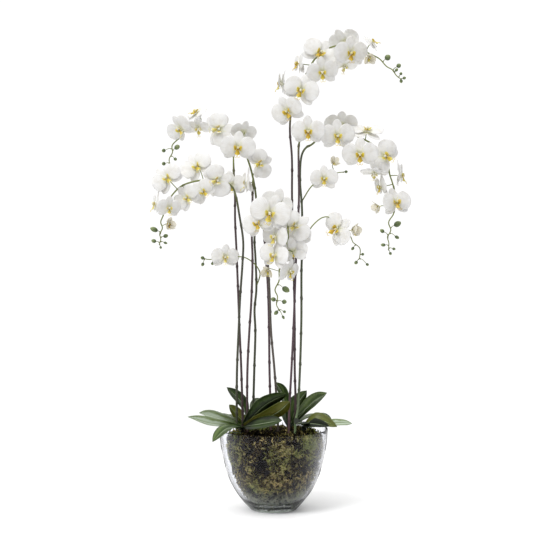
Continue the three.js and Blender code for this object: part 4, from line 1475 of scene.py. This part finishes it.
@dataclass
class FlowerStem(Spray):
    """A flower stem: it rises from the moss, and arches past one point of its route."""

    name: str = ""
    bark: BarkFinish | None = None
    arching: int = 9
    sway: float = 0.0
    shoots: list[Spray] = field(default_factory=list)
    foot_radius: float = 3.6
    arch_radius: float = 3.1
    tip_radius: float = 1.4
    shoot_radius: float = 1.7
    knot_gap: float = 92.0
    knot_spread: float = 20.0
    step: float = 4.0

    def bend(self) -> None:
        """Brings the spray forwards, or takes it back, by a share of its reach to the side."""
        start = self.route[self.arching - 1][0]

        def move(spot: Point) -> Point:
            """The place at its new depth."""
            return (spot[0], spot[1], spot[2] + self.sway * abs(spot[0] - start))

        self.route = [*self.route[:self.arching], *map(move, self.route[self.arching:])]
        self.moved(move)
        for shoot in self.shoots:
            shoot.route = list(map(move, shoot.route))
            shoot.moved(move)

    def trunk(self, rng: np.random.Generator) -> tuple[Shape, np.ndarray, list[Shape]]:
        """The stem with its knots.

        Args:
            rng: The source of chance.

        Returns:
            The stem, the points of its arching stretch, and a scale at each knot.
        """
        points, shares = Curve([place(spot) for spot in self.route]).even(self.step)
        arch = (self.arching - 1) / (len(self.route) - 1)
        radii = np.interp(shares, [0, arch, 1], [self.foot_radius, self.arch_radius, self.tip_radius])
        walked = np.arange(len(points)) * self.step
        past = 0.72 + 0.28 * (shares - arch) / max(1 - arch, 0.05)
        along = np.where(shares < arch, 0.72 * shares / arch, past)
        knots = np.arange(rng.uniform(60, 140), walked[-1] - 20, self.knot_gap)
        knots = knots + rng.uniform(-self.knot_spread, self.knot_spread, len(knots))
        swell = sum(np.exp(-((walked - knot) / 3.5) ** 2) for knot in knots)
        scales = []
        for number, knot in enumerate(knots):
            index = int(np.clip(knot / self.step, 1, len(points) - 4))
            heading = unit(points[index + 3] - points[index])
            out = unit(np.cross(heading, [0.35, 1.0, 0.0])) * (1 if number % 2 else -1)
            path = points[index] + out * radii[index] * 0.62 + np.linspace(-5, 7, 5)[:, None] * heading
            path[-1] += out * 1.2
            values = {"along": np.full(5, along[index]), "knot": np.linspace(0.1, 0.9, 5)}
            scales.append(sweep(path, radii[index] * np.array([0.2, 0.75, 0.8, 0.5, 0.08]), 6, values))
        stem = sweep(points, radii * (1 + 0.3 * swell), 10, {"along": along, "knot": 0.7 * swell})
        return stem, points[shares >= (self.arching - 1.01) / (len(self.route) - 1)], scales

    def build(self, seed: int, finishes: dict[str, bpy.types.Material]) -> None:
        """Makes the stem and all that it carries.

        Args:
            seed: Where its chance begins.
            finishes: The materials of the petals, the lips, the opening petals and the buds.
        """
        self.bend()
        rng = np.random.default_rng(seed)
        bark = Piece(f"{self.name}_bark", "stem", self.name)
        buds = Piece(f"{self.name}_buds", "stem", self.name)
        stem, arch, scales = self.trunk(rng)
        bark.add(stem, *scales)
        self.carry(arch, bark, buds)
        for shoot in self.shoots:
            points, shares = Curve([place(spot) for spot in shoot.route]).even(self.step)
            radii = self.shoot_radius + 0.3 - 0.6 * shares
            bark.add(sweep(points, radii, 8, {"along": 0.76 + 0.2 * shares}))
            shoot.carry(points, bark, buds)
        bark.make(self.bark.material())
        if buds.shapes:
            buds.make(finishes["bud"])
        petal, lip, opening = (finishes[name] for name in ("petal", "lip", "opening"))
        number = 0
        for spray in (self, *self.shoots):
            for name, bloom in {**spray.blooms, **spray.fused}.items():
                node = f"bloom_{name}" if name in spray.blooms else self.name
                bloom.build(f"bloom_{name}_petals", sum(map(ord, name)) * 7, petal, lip, node)
            for bloom in spray.openings:
                number += 1
                bloom.stage = Stage.OPENING
                bloom.build(f"{self.name}_opening_{number}", seed + number, opening, lip, self.name)


PURPLE = BarkFinish("purple_bark", rgb("4c373b"), rgb("524144"))
DEEP_PURPLE = BarkFinish("deep_purple_bark", rgb("3b2428"), rgb("4b3a3d"))
ROSY = BarkFinish("rosy_bark", rgb("835e63"), rgb("55424a"))
GREY_GREEN = BarkFinish("grey_green_bark", rgb("33381f"), rgb("4b4d3e"))
MOSS_GREEN = BarkFinish("moss_green_bark", rgb("2f3b20"), rgb("4c503c"))
GREY_BROWN = BarkFinish("grey_brown_bark", rgb("41382d"), rgb("5b544d"))
LEAF_GREEN = BarkFinish("leaf_green_bark", rgb("9fbd84"), rgb("4e563f"))

STEMS = [
    FlowerStem(
        name="flower_stem_1", bark=GREY_GREEN, sway=-0.3,
        route=[(-111, 160, 6), (-111, 262, 6), (-110, 420, 4), (-105, 540, 2), (-100, 645, 0),
               (-93, 744, -4), (-91, 810, -6), (-102, 885, -4), (-113, 945, 0), (-124, 972, 6),
               (-154, 990, 14), (-196, 993, 18), (-241, 987, 16), (-274, 975, 12), (-298, 954, 6),
               (-315, 928, 4), (-331, 885, 0), (-338, 866, 0), (-333, 849, 0), (-341, 830, 0),
               (-338, 816, 0), (-342, 801, 0)],
        blooms={
            "g1": Bloom((-127, 977, 22), (180, 0, 10), 0.92),
            "g2": Bloom((-169.5, 990, -10), (10, 0, 70), 1.0),
            "g3": Bloom((-211.5, 957, -15), (0, 0, -50), 0.8),
            "g4": Bloom((-259.5, 939, -12), (-10, 0, -45), 0.85),
            "g5": Bloom((-229, 1032, 34), (-18, 12, -38), 1.02),
            "g6": Bloom((-319, 997, -10), (-10, 10, -44), 0.97),
            "g7": Bloom((-349.5, 921, 26), (-76, 0, 0), 0.92),
            "g8": Bloom((-313.5, 909, -27), (20, -15, 0), 0.75),
        },
        openings=[Bloom((-315, 861, -5), (30, -10, 0), 0.58)],
        buds=[Bud((-358.5, 844.5, 0), 24, 15), Bud((-323, 825, 2), 15, 12), Bud((-359.4, 810, -2), 15, 12),
              Bud((-323.7, 804, 2), 12, 7.5), Bud((-338.4, 790, 0), 8, 7.5)]),
    FlowerStem(
        name="flower_stem_2", bark=PURPLE,
        route=[(-93, 160, 26), (-93, 262, 26), (-97, 420, 28), (-102, 540, 30), (-106.5, 660, 34),
               (-111, 780, 40), (-115, 870, 46), (-115.5, 945, 48), (-119, 1020, 38), (-120, 1092, 10)],
        blooms={
            "f1": Bloom((-106.5, 1089, -30), (0, -10, 5), 1.05),
            "f2": Bloom((-90, 1136, 10), (205, 30, 0), 0.8),
        }),
    FlowerStem(
        name="flower_stem_3", bark=PURPLE,
        route=[(-79.5, 160, -4), (-79.5, 262, -4), (-78.6, 420, -4), (-72.6, 540, -6), (-67, 624, -8),
               (-63, 757, -10), (-65, 822, -10), (-63, 927, -6), (-62, 979, 0), (-61, 1008, 6)],
        blooms={
            "f7": Bloom((-40.5, 1041, -10), (15, 0, 70), 0.9),
            "f8": Bloom((-79.5, 984, 15), (-78, 0, 0), 0.98),
        }),
    FlowerStem(
        name="flower_stem_4", bark=MOSS_GREEN, sway=0.3, arching=10,
        route=[(-63, 160, 16), (-62, 262, 16), (-58, 420, 16), (-54.6, 540, 18), (-57, 604, 20),
               (-51.6, 663, 22), (-54, 757, 26), (-57, 816, 28), (-51, 885, 30), (-52, 937, 32),
               (-61.5, 999, 34), (-75, 1048, 30), (-97.5, 1101, 20), (-127.5, 1119, 14), (-145.5, 1128, 14),
               (-184.5, 1149, 18), (-208.5, 1159, 18), (-250.5, 1155, 20), (-280.5, 1119, 24),
               (-303, 1095, 16), (-302, 1075, 8), (-312, 1054.5, 8), (-310.5, 1038, 8), (-314, 1020, 8)],
        blooms={
            "f3": Bloom((-163.5, 1143, -11), (-5, 0, 80), 1.05),
            "f4": Bloom((-227, 1192, 15), (-58, 44, 0), 0.92),
            "f5": Bloom((-224, 1148, 3), (-10, -50, 0), 0.85),
            "f6": Bloom((-278, 1146, -18), (-38, -24, -30), 0.93),
        },
        buds=[Bud((-288, 1090.5, -2), 21, 15), Bud((-328.5, 1080, 8), 12, 12),
              Bud((-293.4, 1054.5, 6), 11, 10), Bud((-328.5, 1041, 8), 12, 12)],
        shoots=[Spray(
            route=[(-52, 672, 22), (-40.5, 712, 16), (-55, 739, 8), (-83, 759, 2), (-104.4, 763, 2),
                   (-145, 764, 6), (-178.5, 755, 2), (-199.5, 755, 0), (-206, 757, 0)],
            fused={"h1": Bloom((-145.5, 761, -15), (10, -5, 0), 0.85)},
            buds=[Bud((-213, 759, 0), 12, 11), Bud((-212.7, 739.5, 0), 12, 10),
                  Bud((-183.6, 741.6, 0), 9, 9)])]),
    FlowerStem(
        name="flower_stem_5", bark=ROSY, arching=8,
        route=[(-7.5, 160, 20), (-8, 262, 20), (-12, 420, 20), (-13.5, 540, 20), (-16.5, 660, 18),
               (-22.5, 756, 12), (-27, 816, 4), (-28.5, 860, -6), (-20, 905, -18), (-12, 926, -34)],
        blooms={
            "e1": Bloom((-10, 892, -78), (-6, -4, 14), 1.24),
            "e2": Bloom((-46, 863, -58), (-26, 0, -15), 1.0),
            "e3": Bloom((10, 919, -20), (168, 0, -14), 1.05),
        }),
    FlowerStem(
        name="flower_stem_6", bark=GREY_BROWN, arching=8,
        route=[(13.5, 160, -4), (13, 262, -4), (3, 420, -6), (-7.5, 540, -8), (-12, 660, -10),
               (-16.5, 750, -14), (-14, 830, -20), (-4, 890, -30), (7.5, 925, -36), (24, 925, -40),
               (38, 885, -42), (43.5, 825, -44), (31.5, 765, -44), (18, 726, -44), (16.5, 690, -44),
               (4.5, 663, -44), (12, 643, -44), (9, 618, -44), (16, 604, -44)],
        blooms={
            "e4": Bloom((65, 854, -46), (0, 6, 52), 1.0),
            "e6": Bloom((6, 820, -60), (-40, 0, 8), 1.0),
            "e7": Bloom((4, 765, -65), (-36, 5, 10), 0.98),
            "e8": Bloom((58, 778, -41), (176, 0, 10), 0.92),
            "e10": Bloom((46.5, 717, -55), (50, -15, 0), 0.85),
        },
        openings=[Bloom((-16.5, 723, -45), (-20, -30, 0), 0.62)],
        buds=[Bud((37.5, 664, -44), 24, 18), Bud((-0.6, 634.5, -44), 15, 13.5),
              Bud((32.7, 627, -44), 14, 14), Bud((7.5, 594, -44), 15, 12), Bud((33.3, 597, -44), 9, 9),
              Bud((29.4, 580, -44), 12, 8)]),
    FlowerStem(
        name="flower_stem_7", bark=ROSY,
        route=[(46.5, 160, -30), (46.5, 262, -30), (49, 330, -30), (54, 420, -30), (61, 570, -28),
               (67.5, 750, -26), (76, 933, -20), (75, 1040, -12), (76, 1098, -6), (82, 1120, -4)],
        blooms={"b1": Bloom((103.5, 1137, -30), (0, -10, 0), 1.0)}),
    FlowerStem(
        name="flower_stem_8", bark=DEEP_PURPLE, sway=-0.25, arching=10,
        route=[(66, 160, 20), (66, 262, 20), (66, 348, 20), (64, 420, 20), (63.6, 570, 20), (60, 750, 20),
               (55.5, 939, 20), (55, 1060, 20), (49, 1140, 20), (52, 1190, 18), (62, 1240, 16),
               (84, 1280, 16), (104, 1320, 18), (130, 1360, 30), (175, 1388, 38), (225, 1392, 34),
               (262, 1380, 20), (290, 1366, 8), (315.6, 1353, 4), (337.5, 1330, 2), (354.6, 1320, 0),
               (366.6, 1303, 0), (379.5, 1293, 0)],
        blooms={
            "a0": Bloom((24, 1278, 45), (-95, 0, 0), 0.9),
            "a1": Bloom((76.5, 1338, 20), (-75, 5, 0), 0.85),
            "a2": Bloom((138, 1369, 0), (18, 14, 38), 1.1),
            "a3": Bloom((145.5, 1314, -20), (0, -25, -5), 0.95),
            "a4": Bloom((229.5, 1370, -25), (12, -15, 0), 1.02),
            "a5": Bloom((210, 1402, 46), (170, 20, 20), 0.95),
            "a7": Bloom((292.5, 1401, 0), (80, 45, 0), 0.8),
            "a8": Bloom((211, 1333, 32), (20, -60, 0), 0.8),
            "a9": Bloom((83, 1259, -25), (-12, -5, 20), 1.07),
            "a10": Bloom((42, 1197, -20), (-20, -12, -24), 1.02),
        },
        openings=[Bloom((283.5, 1358, -8), (10, -30, 0), 0.6)],
        buds=[Bud((340.5, 1357, 2), 18, 18), Bud((373.5, 1332.6, 0), 14, 13.5),
              Bud((366.9, 1320, -4), 12, 9), Bud((380, 1309, 0), 9, 9), Bud((390.6, 1296, 0), 10, 9),
              Bud((380.7, 1286, 0), 11, 10)]),
    FlowerStem(
        name="flower_stem_9", bark=LEAF_GREEN, sway=0.25, arching=11,
        route=[(66, 160, -30), (66.5, 262, -30), (73, 300, -28), (79.5, 420, -24), (83.7, 570, -18),
               (84, 720, -12), (86.4, 810, -6), (85, 915, 0), (79.5, 994.5, 6), (85, 1068, 8),
               (97.5, 1089, 8), (114, 1098, 8), (154.5, 1132, 8), (214.5, 1134, 10), (265, 1116, 12),
               (305, 1092, 10), (338, 1055, 6), (348, 1008, 4), (355, 987, 2), (363, 954, 2),
               (360.6, 894, 0), (345, 865.5, 0), (351.6, 842, 0), (342, 821, 0), (346, 804, 0),
               (345, 785, 0)],
        blooms={
            "b2": Bloom((191, 1124, -30), (5, -10, 0), 1.05),
            "b3": Bloom((201, 1158, 25), (180, 30, 0), 1.0),
            "b4": Bloom((279, 1138, 0), (15, 58, 15), 1.0),
            "b5": Bloom((259, 1069, -45), (-5, -15, 0), 1.08),
            "b6": Bloom((332, 1062, -20), (14, 5, -58), 1.06),
            "b7": Bloom((301.5, 1014, 10), (0, -70, 0), 0.85),
            "b8": Bloom((322.5, 972, 5), (-70, -10, 0), 0.8),
            "b9": Bloom((378, 1006, 0), (80, 0, 0), 1.0),
            "b10": Bloom((366, 925, -28), (20, 10, -6), 1.0),
        },
        openings=[Bloom((318, 913, 0), (-90, -20, 0), 0.62)],
        buds=[Bud((372, 861, 0), 24, 18), Bud((325.5, 840, 0), 15, 12), Bud((370.5, 820.8, 0), 15, 10.5),
              Bud((328.5, 798, 0), 15, 10.5), Bud((361.5, 786, 0), 10, 9), Bud((350.7, 772, 0), 10, 9)],
        shoots=[
            Spray(
                route=[(85, 929, 1), (115.5, 975, 4), (145, 993, 6), (187.5, 1012.8, 2), (208, 1016, 0)],
                fused={"c1": Bloom((151.5, 996, -10), (0, -5, 0), 0.85)},
                openings=[Bloom((178, 1040, 0), (20, 40, 0), 0.55)],
                buds=[Bud((217.5, 1017, 0), 10, 9)]),
            Spray(
                route=[(86, 806, -6), (101, 831, -8), (117.6, 856.5, -4), (146.7, 880, 8), (166.5, 881, 8),
                       (200, 855, 6), (231.6, 822, 4), (238.5, 806, 2), (259, 788, 0), (258.3, 758, 0)],
                blooms={"e5": Bloom((70, 822, 8), (180, 0, 15), 0.9)},
                fused={"d1": Bloom((191, 845, -10), (-35, 0, 60), 1.05)},
                openings=[Bloom((234, 841.5, 0), (60, 0, 0), 0.66)],
                buds=[Bud((237.3, 787, 0), 12, 9), Bud((268, 770, 0), 9, 9), Bud((247.5, 745, 0), 12, 11),
                      Bud((281.7, 739, 0), 10, 9)]),
        ]),
]


# The studio


@dataclass
class Studio:
    """A white floor, a soft white world, one broad sun and the photograph's camera."""

    floor_reach: float = 1.0
    floor_drop: float = 0.0005
    sun_strength: float = 1.4
    sun_width: float = 26.0
    sun_heading: Point = (0.62, 0.62, -0.9)
    top: float = 1.3
    front: float = 0.35
    back: float = 1.0
    below: float = 0.95
    side_dark: float = 0.32
    seen_white: float = 1.05

    def camera(self) -> None:
        """Makes the camera that sees what the photograph shows."""
        data = bpy.data.cameras.new("camera")
        data.angle = math.radians(FIELD_OF_VIEW)
        data.clip_end = 200
        camera = bpy.data.objects.new("camera", data)
        camera.location = Vector(EYE * MM)
        camera.rotation_euler = (Vector(TARGET) - camera.location).to_track_quat("-Z", "Y").to_euler()
        bpy.context.scene.collection.objects.link(camera)
        bpy.context.scene.camera = camera

    def floor(self) -> None:
        """Makes the floor just under the vase."""
        reach, drop = self.floor_reach, -self.floor_drop
        mesh = bpy.data.meshes.new("floor")
        corners = [(-reach, -reach, drop), (reach, -reach, drop), (reach, reach, drop), (-reach, reach, drop)]
        mesh.from_pydata(corners, [], [(0, 1, 2, 3)])
        mesh.materials.append(FloorFinish("studio_floor").material())
        floor = bpy.data.objects.new("floor", mesh)
        bpy.context.scene.collection.objects.link(floor)

    def lights(self) -> None:
        """Makes the sun, and a world that the eye sees white and that is darker to the sides."""
        sun = bpy.data.lights.new("sun", "SUN")
        sun.energy = self.sun_strength
        sun.angle = math.radians(self.sun_width)
        lamp = bpy.data.objects.new("sun", sun)
        lamp.rotation_euler = Vector(self.sun_heading).to_track_quat("-Z", "Y").to_euler()
        bpy.context.scene.collection.objects.link(lamp)
        world = bpy.data.worlds.new("studio")
        world.use_nodes = True
        bpy.context.scene.world = world
        graph = Graph(world.node_tree)
        heading = graph.add("ShaderNodeTexCoord", output="Generated")
        across, depth, height = (graph.add("ShaderNodeSeparateXYZ", inputs={"Vector": heading}, output=axis)
                                 for axis in "XYZ")
        low = 1 - height.size().step(0.2, 0.8)
        level = self.front + height.step(0.1, 0.8) * (self.top - self.front)
        level = level + (0 - height).step(0.05, 0.5) * (self.below - self.front)
        behind = depth.step(0.3, 0.9) * low * (self.back - self.front)
        sides = across.size().step(0.55, 0.95) * low * self.side_dark
        bright = level + behind - sides
        soft = graph.add("ShaderNodeBackground", inputs={"Color": rgb("ffffff"), "Strength": bright})
        seen = {"Color": rgb("ffffff"), "Strength": self.seen_white}
        white = graph.add("ShaderNodeBackground", inputs=seen)
        eye = graph.add("ShaderNodeLightPath", output="Is Camera Ray")
        shown = graph.add("ShaderNodeMixShader", inputs={0: eye, 1: soft, 2: white})
        graph.add("ShaderNodeOutputWorld", inputs={"Surface": shown})

    def build(self) -> None:
        """Makes the whole studio."""
        bpy.context.scene.view_settings.view_transform = "Standard"
        self.camera()
        self.floor()
        self.lights()


def main() -> None:
    """Builds the studio, the vase, the moss, the leaves and the flower stems in turn."""
    logging.basicConfig(level=logging.INFO, format="%(name)s: %(message)s")
    Studio().build()
    Vase().build()
    Moss().build()
    leaf = LeafFinish("waxy_leaf").material()
    for rosette in ROSETTES:
        rosette.build(leaf)
    opening = PetalFinish("opening_petal", rgb("ebe6d8"), rgb("dbd2b6"), rgb("c6c283"), rgb("a39c68"), 0.6)
    finishes = {
        "petal": PetalFinish("white_petal").material(),
        "lip": LipFinish("golden_lip").material(),
        "opening": opening.material(),
        "bud": BudFinish("green_bud").material(),
    }
    for seed, stem in enumerate(STEMS):
        stem.build(100 + seed * 10, finishes)


if __name__ == "__main__":
    main()
